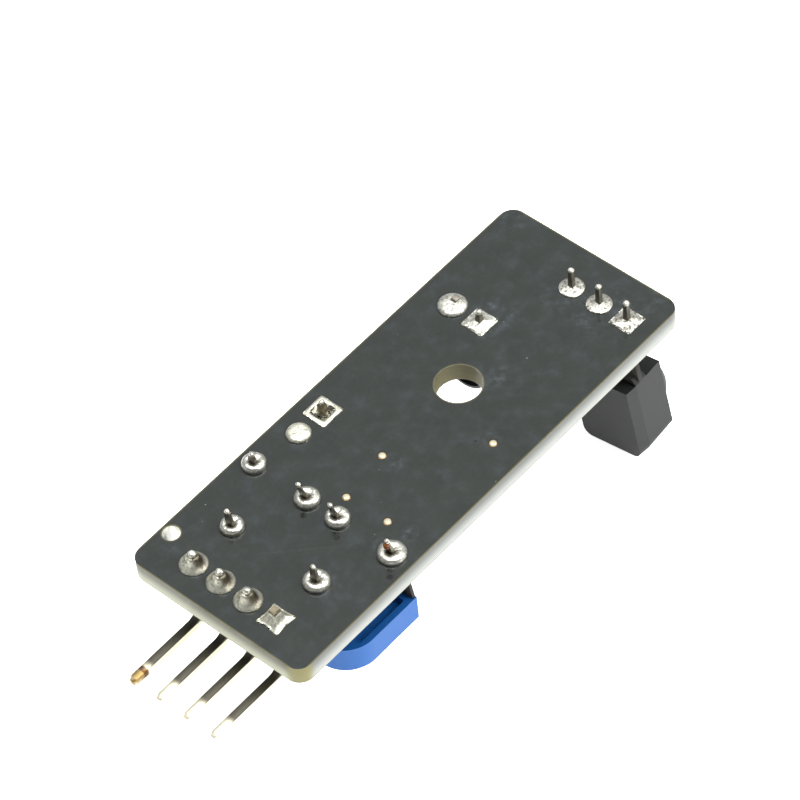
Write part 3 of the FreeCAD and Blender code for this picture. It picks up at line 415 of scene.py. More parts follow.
def board_finish():
    made = Finish("black_solder_mask", IOR=1.5)
    height = made.axis("Z")
    cut_wall = made.step(height, PART_FACE + 0.01, PART_FACE + 0.06) * made.step(height, SOLDER_FACE - 0.01, SOLDER_FACE - 0.06)
    solder_side = made.step(height, SOLDER_FACE - 0.2, SOLDER_FACE - 0.01)
    cloud = made.noise(2.5, 4.0)
    fine = made.noise(0.35, 3.0)
    mask = made.blend(cloud, tone(30, 33, 31), tone(42, 46, 43))
    mask = made.blend(fine * 0.3, mask, tone(54, 57, 55))
    bluish = made.step(made.noise(1.3, 5.0), 0.45, 0.75) * solder_side
    mask = made.blend(bluish * 0.35, mask, tone(56, 61, 66))
    bare_edge = made.most(
        made.step(made.maths("ABSOLUTE", made.axis("X") - BOARD_MIDDLE.x), BOARD_HALF.x - 0.14, BOARD_HALF.x - 0.06),
        made.step(made.maths("ABSOLUTE", made.axis("Y") - BOARD_MIDDLE.y), BOARD_HALF.y - 0.14, BOARD_HALF.y - 0.06))
    bare_edge = made.most(bare_edge, made.most(made.near((0, 0), 1.8, 1.86), made.near(SPARE_HOLE, 0.7, 0.78)))
    mask = made.blend(bare_edge * 0.6, mask, tone(104, 100, 70))
    stain = None
    for x, y, radius, strength in STAINS:
        ring = made.near((x, y), radius * 0.35, radius) * strength
        stain = ring if stain is None else made.most(stain, ring)
    mottle = made.step(made.noise(0.6, 5.0), 0.36, 0.76) * made.step(made.noise(1.7, 3.0), 0.3, 0.66)
    stain = stain * mottle * solder_side
    mask = made.blend(stain * 0.55, mask, tone(78, 84, 93))
    # Painted reflection: two soft dark spots on the mask in front of each of three trimmer joints
    for lead, x, y in PAINTED_JOINT_REFLECTIONS:
        place, half = section(lead, SOLDER_FACE + SECTION_LIFT)
        for share in (0.8, 1.15):
            reflection = made.near((place.x + x * share, place.y + y * share), 0.1, 0.36) * solder_side
            mask = made.blend(reflection * 0.75, mask, tone(8, 9, 9))
    speck = made.step(made.grains(1.1), 0.05, 0.02) * made.step(made.noise(4.0, 2.0), 0.5, 0.6) * solder_side
    mask = made.blend(speck * 0.7, mask, tone(150, 156, 156))
    layers = made.noise(0.16, 3.0, (0.12, 0.12, 1.0))
    glass = made.blend(layers, tone(140, 143, 138), tone(164, 167, 162))
    sawn = made.step(made.axis("X"), BOARD_LOW.x / MM + 1.6, BOARD_LOW.x / MM + 0.8)
    glass = made.blend(sawn * 0.8, glass, tone(166, 167, 142))
    # Painted shade: the board's walls are painted darker towards the solder face
    painted_wall_shade = made.step(height, PART_FACE + 0.1, SOLDER_FACE - 0.1)
    glass = made.blend(painted_wall_shade * 0.85, glass, made.blend(sawn, tone(62, 65, 61), tone(50, 50, 36)))
    rim = made.step(height, SOLDER_FACE - 0.16, SOLDER_FACE - 0.1)
    glass = made.blend(rim * 0.6, glass, tone(74, 71, 46))
    corner = made.near((BOARD_LOW.x / MM, BOARD_LOW.y / MM), 0.7, 1.6)
    glass = made.blend(corner * 0.9, glass, tone(112, 106, 46))
    # The mounting hole's wall: olive glass with painted shade inside the hole
    shaded_hole_wall = made.near((0, 0), 1.78, 1.95)
    glass = made.blend(shaded_hole_wall, glass, made.blend(layers, tone(66, 61, 12), tone(88, 82, 28)))
    in_spare = made.near(SPARE_HOLE, 0.68, 0.8)
    glass = made.blend(in_spare, glass, tone(238, 238, 230))
    made.colour(made.blend(cut_wall, mask, glass))
    made.metal(in_spare * cut_wall)
    made.rough(0.12 + cut_wall * (0.4 - in_spare * 0.1) + stain * 0.2 + cloud * 0.05)
    weave = made.noise(0.6, 2.0, (1.0, 1.0, 1.0)) * (1 - cut_wall) + layers * cut_wall * 0.6 + stain * 0.4
    made.bump(weave, 0.006)
    return made


def solder_finish(name, low, high, dark_grain, grain_share, roughness):
    """Dull solder with dark grains, and a dark brown patch in front of each lead."""
    made = Finish(name, Metallic=1.0)
    patch = made.noise(0.5, 3.0)
    grain = made.noise(0.22, 5.0, roughness=0.7)
    dark = made.step(grain, 0.49, 0.58)
    skin = made.blend(dark * grain_share, made.blend(patch, low, high), dark_grain)
    inner = None
    for node, joints in JOINTS.values():
        for lead, kind, radius in joints:
            if kind in JOINT_DARK_PATCHES:
                place, half = section(lead, SOLDER_FACE + SECTION_LIFT)
                shift, share = JOINT_DARK_PATCHES[kind]
                spot = made.near((place.x + shift[0], place.y + shift[1]), 0.2, radius * share)
                inner = spot if inner is None else made.most(inner, spot)
    inner = inner * made.step(made.axis("Z"), SOLDER_FACE - 0.1, SOLDER_FACE + 0.05)
    made.colour(made.blend(inner * 0.9, skin, tone(62, 54, 40)))
    made.rough(roughness + dark * 0.15 + patch * 0.1)
    made.bump(patch * 0.5 + grain * 0.4, 0.03)
    return made


def bead_finish():
    made = Finish("bright_solder_bead", Metallic=1.0)
    patch = made.noise(0.3, 3.0)
    made.colour(made.blend(patch, tone(168, 167, 154), tone(214, 213, 202)))
    made.rough(0.28 + patch * 0.15)
    made.bump(patch, 0.02)
    return made


def metal_finish(name, dark, light, roughness, streak, depth=0.006):
    """Drawn or stamped metal with streaks along its length."""
    made = Finish(name, Metallic=1.0)
    drawn = made.noise(0.12, 4.0, streak)
    cloud = made.noise(0.8, 3.0)
    made.colour(made.blend(drawn * 0.6 + cloud * 0.4, dark, light))
    made.rough(roughness + drawn * 0.12 + cloud * 0.08)
    made.bump(drawn, depth)
    return made


def tail_finish(name, dark, light, streak):
    """Tinned metal that is browned by flux where it stands out of the solder face, and carries painted shade below the
    component face.
    """
    made = Finish(name, Metallic=1.0, Specular_IOR_Level=0.08)
    drawn = made.noise(0.12, 4.0, streak)
    cloud = made.noise(0.8, 3.0)
    skin = made.blend(drawn * 0.6 + cloud * 0.4, dark, light)
    height = made.axis("Z")
    browned = made.step(height, SOLDER_FACE + 0.1, SOLDER_FACE + 0.3)
    # Painted shade: below the component face the metal is painted dark and made less metallic
    painted_shade_and_reflection = made.step(height, PART_FACE - 0.2, PART_FACE - 1.2)
    skin = made.blend(painted_shade_and_reflection * 0.95, skin, tone(26, 25, 23))
    made.colour(made.blend(browned * 0.85, skin, made.blend(cloud, tone(72, 68, 58), tone(124, 118, 104))))
    made.metal(1 - painted_shade_and_reflection * 0.85)
    made.rough(0.24 + drawn * 0.12 + browned * 0.1 + painted_shade_and_reflection * 0.3)
    made.bump(drawn, 0.006)
    return made


def plastic_finish(name, dark, light, roughness, grain=0.09, depth=0.006, **fixed):
    """Moulded plastic with a fine grain and faint flow clouds."""
    made = Finish(name, **fixed)
    flow = made.noise(1.6, 3.0)
    fine = made.noise(grain, 2.0)
    made.colour(made.blend(flow * 0.7 + fine * 0.3, dark, light))
    made.rough(roughness + fine * 0.12 + flow * 0.06)
    made.bump(fine, depth)
    return made


def pin_finish():
    """Tinned pins: a painted dark reflection of the board on the part near it, browned tails, bare brass at the tip of
    the first.
    """
    made = Finish("tinned_header_pin", Metallic=1.0, Specular_IOR_Level=0.3)
    drawn = made.noise(0.1, 4.0, (0.15, 1.0, 1.0))
    cloud = made.noise(0.9, 3.0)
    skin = made.blend(cloud, tone(204, 197, 168), tone(226, 220, 196))
    along = made.axis("X")
    height = made.axis("Z")
    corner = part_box("header_pin_1")[0] / MM
    low = corner.x
    upper_face = made.step(height, corner.z + 0.5, corner.z + 0.6) * made.step(height, PART_FACE - 1.4, PART_FACE - 1.5)
    # Painted reflection: the upper face is painted dark and less metallic towards the board, mirroring its dark
    # underside
    painted_shade_and_reflection = made.step(along, low + 1.2, low + 2.1) * upper_face
    skin = made.blend(painted_shade_and_reflection * 0.96, skin, made.blend(drawn, tone(26, 23, 16), tone(72, 67, 50)))
    browned = made.step(height, SOLDER_FACE + 0.1, SOLDER_FACE + 0.3)
    skin = made.blend(browned * 0.85, skin, tone(92, 82, 64))
    first = made.step(made.axis("Y"), 3.2, 3.4) * made.step(height, PART_FACE, PART_FACE - 1.0)
    bare = first * made.step(along, low + 1.4, low + 1.2) * made.step(cloud, 0.3, 0.5)
    ring = first * made.step(along, low + 0.9, low + 1.05) * made.step(along, low + 1.5, low + 1.35)
    skin = made.blend(bare * 0.9, skin, tone(124, 98, 42))
    made.colour(made.blend(ring * 0.9, skin, tone(74, 46, 20)))
    made.metal(1 - painted_shade_and_reflection * 0.9)
    made.rough(0.3 + drawn * 0.1 + bare * 0.1 + painted_shade_and_reflection * 0.1)
    made.bump(drawn, 0.005)
    return made


def track_plate_finish():
    """White fired plate with a black resistor ring."""
    made = Finish("fired_plate_with_resistor_ring")
    ring = None
    for letter in "ab":
        low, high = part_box("trimmer_%s_track_plate" % letter)
        centre = (low + high) / 2 / MM
        band = made.near(centre, 2.35, 2.45) * (1 - made.near(centre, 1.35, 1.45))
        ring = band if ring is None else made.most(ring, band)
    grain = made.noise(0.1, 3.0)
    plate = made.blend(grain, tone(222, 220, 208), tone(242, 240, 230))
    made.colour(made.blend(ring, plate, tone(38, 36, 36)))
    made.rough(0.5 - ring * 0.15 + grain * 0.1)
    made.bump(grain * 0.3 + ring, 0.01)
    return made


def epoxy_finish():
    """Cast epoxy of the emitter, clear with a faint blue."""
    made = Finish("clear_blue_epoxy", Transmission_Weight=0.85, IOR=1.5)
    cloud = made.noise(2.0, 2.0)
    made.colour(made.blend(cloud, tone(176, 192, 226), tone(206, 216, 238)))
    made.rough(0.05 + cloud * 0.06)
    made.bump(cloud, 0.004)
    return made


def capped_finish(name, body, crown, top):
    """A chip part that is darker over its printed crown than at its walls."""
    made = Finish(name)
    height = made.axis("Z")
    crown_mask = made.step(height, top + 0.06, top + 0.02)
    grain = made.noise(0.08, 3.0)
    flow = made.noise(0.5, 3.0)
    side = made.blend(grain, body, tone(236, 234, 226))
    lid = made.blend(flow, crown, tone(48, 48, 50))
    made.colour(made.blend(crown_mask, side, lid))
    made.rough(0.3 + grain * 0.2)
    made.bump(grain, 0.008)
    return made


def via_finish():
    made = Finish("solder_filled_hole")
    height = made.axis("Z")
    fill = made.step(height, 0.022, 0.034)
    patch = made.noise(0.25, 3.0)
    rim = made.blend(patch, tone(84, 66, 44), tone(112, 92, 66))
    middle = made.blend(patch, tone(160, 150, 124), tone(188, 180, 158))
    made.colour(made.blend(fill, rim, middle))
    made.metal(1 - fill * 0.7)
    made.rough(0.25 + patch * 0.15)
    made.bump(patch, 0.015)
    return made


def ink_finish():
    """White printing ink of the outlines, slightly worn."""
    made = Finish("white_outline_ink")
    worn = made.noise(0.3, 5.0)
    made.colour(made.blend(worn, tone(205, 206, 200), tone(238, 238, 232)))
    made.rough(0.45 + worn * 0.2)
    made.bump(worn, 0.006)
    return made


def flux_finish():
    """Burnt flux that clings to a lead."""
    made = Finish("amber_flux", Coat_Roughness=0.1, Transmission_Weight=0.3)
    depth = made.noise(0.3, 4.0)
    made.colour(made.blend(depth, tone(86, 40, 8), tone(150, 88, 34)))
    made.rough(0.15 + depth * 0.2)
    made.bump(depth, 0.03)
    return made


def deselect():
    active = bpy.context.view_layer.objects.active
    if active and active.mode != "OBJECT":
        bpy.ops.object.mode_set(mode="OBJECT")
    bpy.ops.object.select_all(action="DESELECT")


def pick(*objects):
    deselect()
    for one in objects:
        one.select_set(True)
    bpy.context.view_layer.objects.active = objects[0]


def start_edit(piece):
    pick(piece)
    bpy.ops.object.mode_set(mode="EDIT")
    bpy.ops.mesh.select_all(action="SELECT")


def end_edit():
    bpy.ops.object.mode_set(mode="OBJECT")


def settle(piece, name):
    """Puts the piece's place, turn and size into its mesh, and names it."""
    pick(piece)
    bpy.ops.object.transform_apply(location=True, rotation=True, scale=True)
    piece.name = name
    piece.data.name = name
    return piece


def face_outwards(piece):
    start_edit(piece)
    bpy.ops.mesh.remove_doubles(threshold=1e-7)
    bpy.ops.mesh.normals_make_consistent(inside=False)
    end_edit()


def smooth(piece, levels=1, angle=None):
    """Rounds the mesh off with a subdivision surface that is applied."""
    pick(piece)
    if levels:
        bpy.ops.object.modifier_add(type="SUBSURF")
        modifier = piece.modifiers[-1]
        modifier.levels = levels
        modifier.render_levels = levels
        bpy.ops.object.modifier_apply(modifier=modifier.name)
    if angle is None:
        bpy.ops.object.shade_smooth()
    else:
        bpy.ops.object.shade_smooth_by_angle(angle=radians(angle))


def joined(pieces, name):
    pick(*pieces)
    bpy.ops.object.join()
    return settle(bpy.context.view_layer.objects.active, name)


def copied(piece, shift):
    """A copy with its own mesh, moved by a number of millimetres."""
    pick(piece)
    bpy.ops.object.duplicate()
    made = bpy.context.view_layer.objects.active
    made.location = Vector(shift) * MM
    return settle(made, piece.name + "_copy")


def dress(piece, finish, slot, *replaced, body="board"):
    """Gives a finished piece its material and its body, and hides the nodes that it stands for."""
    piece.data.materials.clear()
    piece.data.materials.append(finish.material)
    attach(piece, body)
    if replaced:
        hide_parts(*replaced)
    return piece


def section(node, height):
    """Centre and half widths of a node where it crosses a level, in millimetres."""
    mesh = nodes[node].data
    cuts = []
    for edge in mesh.edges:
        first, second = [mesh.vertices[i].co / MM for i in edge.vertices]
        if (first.z - height) * (second.z - height) < 0:
            share = (height - first.z) / (second.z - first.z)
            cuts.append(first.lerp(second, share))
    low = Vector([min(cut[k] for cut in cuts) for k in range(3)])
    high = Vector([max(cut[k] for cut in cuts) for k in range(3)])
    return (low + high) / 2, (high - low) / 2


def ring_stack(name, rings, square=False):
    """A closed solid at the origin, grown upwards ring by ring from its foot."""
    radius, level = rings[0]
    deselect()
    if square:
        bpy.ops.mesh.primitive_circle_add(
            vertices=4, radius=radius * MM * 2 ** 0.5, fill_type="NOTHING",
            rotation=(0, 0, radians(45)), location=(0, 0, level * MM))
    else:
        bpy.ops.mesh.primitive_circle_add(
            vertices=ROUND_SIDES, radius=radius * MM, fill_type="NGON", location=(0, 0, level * MM))
    piece = bpy.context.view_layer.objects.active
    start_edit(piece)
    if square:
        bpy.ops.mesh.subdivide(number_cuts=SQUARE_CUTS)
        bpy.ops.mesh.edge_face_add()
    for share, (wide, high) in enumerate(rings[1:], start=1):
        bpy.ops.mesh.extrude_region_move(TRANSFORM_OT_translate={"value": (0, 0, (high - level) * MM)})
        bpy.ops.transform.resize(value=(wide / radius, wide / radius, 1))
        if square:
            bpy.ops.transform.tosphere(value=0.5 * share / len(rings))
        radius, level = wide, high
    end_edit()
    face_outwards(piece)
    return settle(piece, name)


def waved(piece, amount, seed):
    """Shifts the mesh a little at random, as solder sets."""
    start_edit(piece)
    bpy.ops.transform.vertex_random(offset=amount * MM, uniform=0.3, normal=0.6, seed=seed)
    end_edit()
    smooth(piece)


def flatten_below(piece, level):
    """Cuts away what lies under a level and closes the cut."""
    start_edit(piece)
    bpy.ops.mesh.bisect(plane_co=(0, 0, level * MM), plane_no=(0, 0, 1), clear_inner=True, use_fill=True)
    end_edit()


def turned_over(piece):
    """Turns a joint made for the solder face round, for the component face."""
    pick(piece)
    bpy.ops.object.duplicate()
    made = bpy.context.view_layer.objects.active
    made.scale = (1, 1, -1)
    made = settle(made, piece.name + "_under")
    face_outwards(made)
    return made


def pinch_sides(piece, share):
    """Draws the middle of each side of a square piece in, so that its corners stand out."""
    for vertex in piece.data.vertices:
        x, y = vertex.co.x, vertex.co.y
        reach = max(x * x + y * y, 1e-12)
        scale = 1 - share * abs(x * x - y * y) / reach
        vertex.co.x = x * scale
        vertex.co.y = y * scale


def joint_mould(kind, radius, seed):
    rings = [(radius * share, height) for share, height in JOINT_RINGS[kind]]
    square = kind in ("pyramid", "flat_square", "hollow_square")
    made = ring_stack("joint_%s" % kind, rings, square)
    if kind in HOLLOW_SIDES:
        pinch_sides(made, HOLLOW_SIDES[kind])
    waved(made, JOINT_WAVE[kind], seed)
    flatten_below(made, 0.0)
    return made


def bead(radius, place, seed):
    deselect()
    bpy.ops.mesh.primitive_ico_sphere_add(subdivisions=2, radius=radius * MM, location=Vector(place) * MM)
    made = bpy.context.view_layer.objects.active
    start_edit(made)
    bpy.ops.transform.resize(value=(1.0, 1.0, 0.85))
    end_edit()
    waved(made, radius * 0.12, seed)
    return settle(made, "bead")


def worn_lead(node, finish, slot):
    """A copy of a lead with worn edges, its tail cut back, narrowed and bent."""
    cut, narrow, lean_x, lean_y = WORN_LEADS[node]
    foot, half = section(node, SOLDER_FACE + SECTION_LIFT)
    pick(nodes[node])
    bpy.ops.object.duplicate()
    made = bpy.context.view_layer.objects.active
    for mark in list(made.keys()):
        del made[mark]
    settle(made, node + "_worn")
    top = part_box(node)[1].z - cut * MM
    start_edit(made)
    bpy.ops.mesh.remove_doubles(threshold=1e-6)
    bpy.ops.mesh.bisect(plane_co=(0, 0, top), plane_no=(0, 0, 1), clear_outer=True, use_fill=True)
    bpy.ops.mesh.select_all(action="SELECT")
    bpy.ops.mesh.bisect(plane_co=(0, 0, (SOLDER_FACE + 0.1) * MM), plane_no=(0, 0, 1))
    end_edit()
    height = top / MM - SOLDER_FACE
    for vertex in made.data.vertices:
        share = (vertex.co.z / MM - SOLDER_FACE - 0.1) / (height - 0.1)
        if share > 0.01:
            vertex.co.x = (foot.x + (vertex.co.x / MM - foot.x) * narrow + lean_x * share) * MM
            vertex.co.y = (foot.y + (vertex.co.y / MM - foot.y) * narrow + lean_y * share) * MM
    bpy.ops.object.modifier_add(type="BEVEL")
    modifier = made.modifiers[-1]
    modifier.width = LEAD_ROUNDING * MM
    modifier.segments = 2
    modifier.limit_method = "ANGLE"
    modifier.angle_limit = radians(50)
    bpy.ops.object.modifier_apply(modifier=modifier.name)
    smooth(made, 0, 28)
    dress(made, finish, slot, node)
    return Vector((foot.x + lean_x, foot.y + lean_y, top / MM))


def solder_joints(solders, bright, tips):
    seed = 1
    for name, (node, joints) in JOINTS.items():
        made = []
        beads = []
        for lead, kind, radius in joints:
            seed += 1
            foot, half = section(lead, SOLDER_FACE + SECTION_LIFT)
            joint = joint_mould(kind, radius, seed)
            if kind == "dome":
                foot += Vector((*DOME_SHIFT, 0))
            joint.location = (foot.x * MM, foot.y * MM, SOLDER_FACE * MM)
            made.append(settle(joint, "joint"))
            under = turned_over(joint_mould("foot", radius * FOOT_SHARE, seed + 50))
            foot, half = section(lead, PART_FACE - SECTION_LIFT)
            under.location = (foot.x * MM, foot.y * MM, PART_FACE * MM)
            made.append(settle(under, "joint_under"))
            remove("joint_foot")
            if lead not in NO_BEAD:
                radius = TIP_BEAD[name]
                beads.append(bead(radius, tips[lead] + Vector((0, 0, radius * BEAD_RISE)), seed))
        dress(joined(made, name), solders[name], "solder", node)
        dress(joined(beads, name.replace("joints", "tip_beads")), bright, "solder")


def remove(name):
    for one in [o for o in bpy.data.objects if o.name.split(".")[0] == name]:
        bpy.data.objects.remove(one)


def filled_vias(finish):
    rings = [(VIA_RIM, 0.0), (VIA_RIM, 0.014), (VIA_FILL * 1.12, 0.018), (VIA_FILL, 0.03), (VIA_FILL * 0.9, 0.06), (VIA_FILL * 0.5, 0.08)]
    mould = ring_stack("via", rings)
    smooth(mould)
    made = [copied(mould, (x, y, SOLDER_FACE)) for x, y in VIAS]
    bpy.data.objects.remove(mould)
    dress(joined(made, "filled_vias"), finish, "solder")


def ribbon(points, width, rise, face):
    """A flat band along points, half sunk in a face of the board."""
    deselect()
    x, y = points[0]
    bpy.ops.mesh.primitive_plane_add(size=width * MM, location=(x * MM, y * MM, 0))
    made = bpy.context.view_layer.objects.active
    start_edit(made)
    bpy.ops.mesh.merge(type="CENTER")
    for first, second in zip(points, points[1:]):
        step = ((second[0] - first[0]) * MM, (second[1] - first[1]) * MM, 0)
        bpy.ops.mesh.extrude_region_move(TRANSFORM_OT_translate={"value": step})
    end_edit()
    pick(made)
    bpy.ops.object.convert(target="CURVE")
    made = bpy.context.view_layer.objects.active
    made.data.bevel_depth = width / 2 * MM
    made.data.bevel_resolution = 1
    made.data.use_fill_caps = True
    pick(made)
    bpy.ops.object.convert(target="MESH")
    made = bpy.context.view_layer.objects.active
    made = settle(made, "ribbon")
    made.scale = (1, 1, rise / (width / 2))
    made.location = (0, 0, face * MM)
    made = settle(made, "ribbon")
    face_outwards(made)
    smooth(made, 0, 40)
    return made


def mask_covered_tracks(finish):
    made = [ribbon(points, TRACK_WIDTH, TRACK_RISE, SOLDER_FACE) for points in TRACKS]
    dress(joined(made, "tracks_under_mask"), finish, "board_mask")


def frame_points(node, gap):
    low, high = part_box(node)
    low, high = low / MM, high / MM
    x0, y0, x1, y1 = low.x - gap, low.y - gap, high.x + gap, high.y + gap
    x0, y0 = max(x0, BOARD_LOW.x / MM + gap), max(y0, BOARD_LOW.y / MM + gap)
    x1, y1 = min(x1, BOARD_HIGH.x / MM - gap), min(y1, BOARD_HIGH.y / MM - gap)
    middle = (x0 + x1) / 2
    return [(middle, y0), (x1, y0), (x1, y1), (x0, y1), (x0, y0), (middle, y0)]


def printed_outlines(finish):
    parts = ["header_block", "trimmer_a_base", "trimmer_b_base", "jumper_block", "timer_chip_leads"]
    made = [ribbon(frame_points(part, OUTLINE_GAP), OUTLINE_WIDTH, OUTLINE_RISE, PART_FACE) for part in parts]
    dress(joined(made, "printed_outlines"), finish, "board_mask")


def islands(node):
    """Lowest and highest corner of each separate solid in a node, in millimetres."""
    pick(nodes[node])
    bpy.ops.object.duplicate()
    copy = bpy.context.view_layer.objects.active
    start_edit(copy)
    bpy.ops.mesh.remove_doubles(threshold=1e-6)
    bpy.ops.mesh.separate(type="LOOSE")
    end_edit()
    found = []
    for piece in list(bpy.context.selected_objects):
        corners = [vertex.co / MM for vertex in piece.data.vertices]
        low = Vector([min(c[k] for c in corners) for k in range(3)])
        high = Vector([max(c[k] for c in corners) for k in range(3)])
        found.append((low, high))
        bpy.data.objects.remove(piece)
    return found


def fillet_wedge(low, high, outwards, reach, rise):
    """A concave toe of solder against the outer end of a chip part or lead."""
    half = (high - low) / 2
    middle = (high + low) / 2
    side = abs(outwards.x) > 0.5
    width = (half.y if side else half.x) + 0.08
    start = half.x if side else half.y
    centre = middle + outwards * (start * 0.75 + reach / 2)
    deselect()
    bpy.ops.mesh.primitive_cube_add(size=1, location=(centre.x * MM, centre.y * MM, (PART_FACE - rise / 2) * MM))
    made = bpy.context.view_layer.objects.active
    across = start * 0.5 + reach
    made.scale = (across * MM, 2 * width * MM, rise * MM) if side else (2 * width * MM, across * MM, rise * MM)
    made = settle(made, "fillet")
    start_edit(made)
    bpy.ops.mesh.subdivide(number_cuts=4)
    end_edit()
    outer = centre + outwards * across / 2
    for vertex in made.data.vertices:
        along = (vertex.co / MM - outer).dot(outwards) / across
        share = max(0.0, min(1.0, -along))
        drop = PART_FACE - vertex.co.z / MM
        vertex.co.z = (PART_FACE - drop * (0.12 + 0.88 * share ** 2.2)) * MM
    face_outwards(made)
    smooth(made)
    return settle(made, "fillet")


def chip_part_joints(finish):
    made = []
    groups = [("resistor_ends", "resistor_bodies"), ("capacitor_ends", "capacitor_bodies"),
              ("indicator_ends", "indicator_bodies"), ("timer_chip_leads", "timer_chip_body")]
    for ends, bodies in groups:
        centres = [(low + high) / 2 for low, high in islands(bodies)]
        for low, high in islands(ends):
            middle = (low + high) / 2
            owner = min(centres, key=lambda centre: (centre - middle).to_2d().length)
            away = middle - owner
            if ends == "timer_chip_leads":
                outwards = Vector((1 if away.x > 0 else -1, 0, 0))
            elif abs(away.x) > abs(away.y):
                outwards = Vector((1 if away.x > 0 else -1, 0, 0))
            else:
                outwards = Vector((0, 1 if away.y > 0 else -1, 0))
            rise = 0.16 if ends == "timer_chip_leads" else (high.z - low.z) * 0.7
            made.append(fillet_wedge(low, high, outwards, 0.28, rise))
    dress(joined(made, "chip_part_joints"), finish, "solder")


def flux_blob(finish):
    """Amber flux burnt on to the end terminal next to the board's edge."""
    lead = "trimmer_b_end_terminal_2"
    tip, half = section(lead, 1.1)
    deselect()
    bpy.ops.mesh.primitive_ico_sphere_add(
        subdivisions=3, radius=0.25 * MM, location=((tip.x - 0.2) * MM, (tip.y + 0.1) * MM, 1.15 * MM))
    made = bpy.context.view_layer.objects.active
    start_edit(made)
    bpy.ops.transform.resize(value=(1.0, 1.15, 1.5))
    end_edit()
    waved(made, 0.05, 7)
    dress(settle(made, "burnt_flux"), finish, "solder")


def camera():
    level = CAMERA_FORWARD.cross(Vector((0, 0, 1))).normalized()
    upright = level.cross(CAMERA_FORWARD)
    right = cos(CAMERA_ROLL) * level - sin(CAMERA_ROLL) * upright
    up = cos(CAMERA_ROLL) * upright + sin(CAMERA_ROLL) * level
    turn = Matrix((right, up, -CAMERA_FORWARD)).transposed()
    deselect()
    bpy.ops.object.camera_add(location=CAMERA_PLACE * MM, rotation=turn.to_euler())
    made = bpy.context.view_layer.objects.active
    made.data.sensor_width = FILM_WIDTH
    made.data.lens = FOCAL_PIXELS / PHOTO_PIXELS * FILM_WIDTH
    made.data.clip_start = 0.01
    bpy.context.scene.camera = made


def table():
    deselect()
    level = cad_box[0][2] - TABLE_DROP * MM
    bpy.ops.mesh.primitive_plane_add(size=TABLE_SIZE * MM, location=(0, 0, level))
    made = settle(bpy.context.view_layer.objects.active, "table")
    finish = Finish("white_table", Roughness=0.7, Emission_Strength=TABLE_GLOW)
    paper = finish.noise(1.0, 3.0)
    finish.colour(finish.blend(paper, tone(250, 250, 250), tone(253, 253, 253)))
    finish.bump(paper, 0.003)
    made.data.materials.append(finish.material)


def lamp(place, size, power, tint):
    deselect()
    aim = (-Vector(place)).to_track_quat("-Z", "Y").to_euler()
    bpy.ops.object.light_add(type="AREA", location=Vector(place) * MM, rotation=aim)
    made = bpy.context.view_layer.objects.active
    made.data.shape = "RECTANGLE"
    made.data.size, made.data.size_y = [side * MM for side in size]
    made.data.energy = power
    made.data.color = tint


def light_tent():
    """White tent all round, with a dark opening where the camera looks in."""
    world = bpy.data.worlds.new("light_tent")
    world.use_nodes = True
    tree = world.node_tree

    def node(kind, settings=(), inputs=()):
        made = tree.nodes.new(kind)
        for name, value in settings:
            setattr(made, name, value)
        for name, value in inputs:
            if hasattr(value, "is_output"):
                tree.links.new(value, made.inputs[name])
            else:
                made.inputs[name].default_value = value
        return made.outputs

    towards = node("ShaderNodeTexCoord")["Generated"]
    facing = node(
        "ShaderNodeVectorMath", [("operation", "DOT_PRODUCT")],
        [(0, towards), (1, -CAMERA_FORWARD)])["Value"]
    shade = node(
        "ShaderNodeMapRange", [("interpolation_type", "SMOOTHSTEP")],
        [("Value", facing), ("From Min", OPENING_EDGE), ("From Max", OPENING_CORE)])[0]
    light = node(
        "ShaderNodeMix", [("data_type", "RGBA")],
        [(0, shade), (6, TENT_LIGHT), (7, OPENING_LIGHT)])[2]
    background = tree.nodes["Background"]
    tree.links.new(light, background.inputs["Color"])
    background.inputs["Strength"].default_value = TENT_STRENGTH
    bpy.context.scene.world = world


def studio():
    light_tent()
    bpy.context.scene.view_settings.view_transform = "Standard"
    for place, size, power, tint in LAMPS:
        lamp(place, size, power, tint)


for stray in [o for o in bpy.data.objects if o.type in ("MESH", "LIGHT", "CAMERA") and o.name not in nodes]:
    bpy.data.objects.remove(stray)

mask = board_finish()
mask.give("circuit_board")
solder = solder_finish("mottled_solder", tone(150, 149, 140), tone(192, 191, 183), tone(84, 81, 72), 0.8, 0.38)
bright_solder = solder_finish("bright_solder", tone(168, 168, 158), tone(206, 206, 198), tone(96, 92, 82), 0.65, 0.38)
dome_solder = solder_finish("trimmer_solder", tone(158, 158, 148), tone(200, 200, 192), tone(88, 86, 78), 0.45, 0.3)
dull_solder = solder_finish("dull_cream_solder", tone(178, 177, 162), tone(214, 213, 198), tone(100, 97, 84), 0.45, 0.36)
bright = bead_finish()
pins = pin_finish()
pins.give("header_pin_1", "header_pin_2", "header_pin_3", "header_pin_4", "jumper_pin_1", "jumper_pin_2")
leads = tail_finish("tinned_lead", tone(150, 146, 134), tone(226, 226, 218), (1.0, 1.0, 0.2))
leads.give("emitter_lead_1", "emitter_lead_2", "receiver_lead_1", "receiver_lead_2", "receiver_lead_3", "timer_chip_leads")
contacts = tail_finish("stamped_contact", tone(140, 138, 132), tone(224, 224, 218), (1.0, 1.0, 0.3))
for letter in "ab":
    contacts.give(*["trimmer_%s_%s" % (letter, part) for part in ("end_terminal_1", "end_terminal_2", "wiper_terminal", "wiper")])
ends = metal_finish("plated_chip_end", tone(188, 188, 182), tone(236, 236, 230), 0.3, (1.0, 1.0, 1.0), 0.012)
ends.give("resistor_ends", "capacitor_ends", "indicator_ends")
metal_finish("spring_brass", tone(190, 146, 70), tone(226, 190, 110), 0.22, (1.0, 1.0, 0.2)).give("jumper_clip")
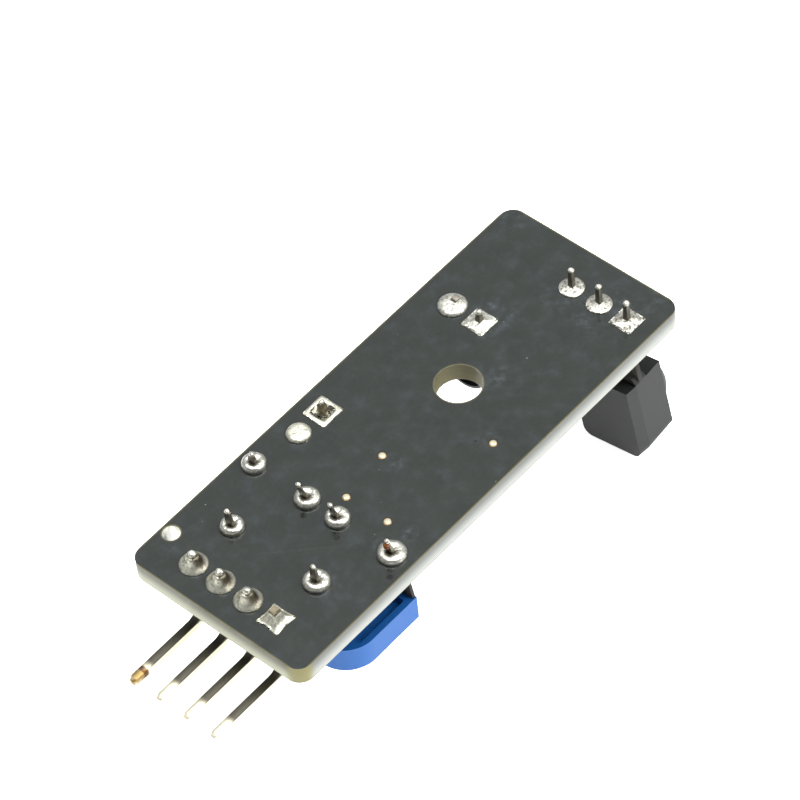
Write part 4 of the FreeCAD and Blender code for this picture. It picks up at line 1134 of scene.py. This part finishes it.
plastic_finish("black_pin_block", tone(30, 31, 31), tone(44, 45, 45), 0.38).give("header_block", "jumper_block")
plastic_finish("black_jumper_cap", tone(28, 28, 29), tone(40, 40, 42), 0.3).give("jumper_cap")
plastic_finish("blue_trimmer_shell", tone(12, 78, 148), tone(18, 89, 160), 0.42, 0.12, 0.008, Specular_IOR_Level=0.3).give("trimmer_a_base", "trimmer_b_base")
plastic_finish("cream_rotor", tone(198, 198, 174), tone(212, 212, 190), 0.4).give("trimmer_a_rotor", "trimmer_b_rotor")
plastic_finish("black_shrink_sleeve", tone(22, 22, 23), tone(34, 34, 35), 0.42, 0.2, 0.012).give("emitter_sleeve")
plastic_finish("black_receiver_epoxy", tone(30, 32, 31), tone(38, 40, 39), 0.45, 0.1, 0.006, Specular_IOR_Level=0.25).give("receiver_body")
plastic_finish("black_chip_epoxy", tone(36, 36, 37), tone(50, 50, 51), 0.45, 0.06, 0.01).give("timer_chip_body")
track_plate_finish().give("trimmer_a_track_plate", "trimmer_b_track_plate")
epoxy_finish().give("emitter_lens")
capped_finish("glazed_resistor", tone(216, 214, 204), tone(26, 26, 28), -2.1).give("resistor_bodies")
plastic_finish("tan_capacitor", tone(176, 146, 108), tone(196, 166, 126), 0.45, 0.05, 0.01).give("capacitor_bodies")
plastic_finish("milky_indicator_resin", tone(224, 222, 190), tone(240, 240, 220), 0.15, 0.3, 0.004).give("indicator_bodies")

tips = {}
for node in WORN_LEADS:
    if node.startswith("trimmer"):
        tips[node] = worn_lead(node, contacts, "contact_metal")
    elif node.startswith(("header", "jumper")):
        tips[node] = worn_lead(node, pins, "pin_metal")
    else:
        tips[node] = worn_lead(node, leads, "tinned_lead")
solder_joints({
    "header_joints": dull_solder, "jumper_joints": dull_solder,
    "trimmer_a_joints": dome_solder, "trimmer_b_joints": dome_solder,
    "emitter_joints": bright_solder, "receiver_joints": solder,
}, bright, tips)
filled_vias(via_finish())
mask_covered_tracks(mask)
printed_outlines(ink_finish())
chip_part_joints(solder)
flux_blob(flux_finish())

table()
studio()
camera()
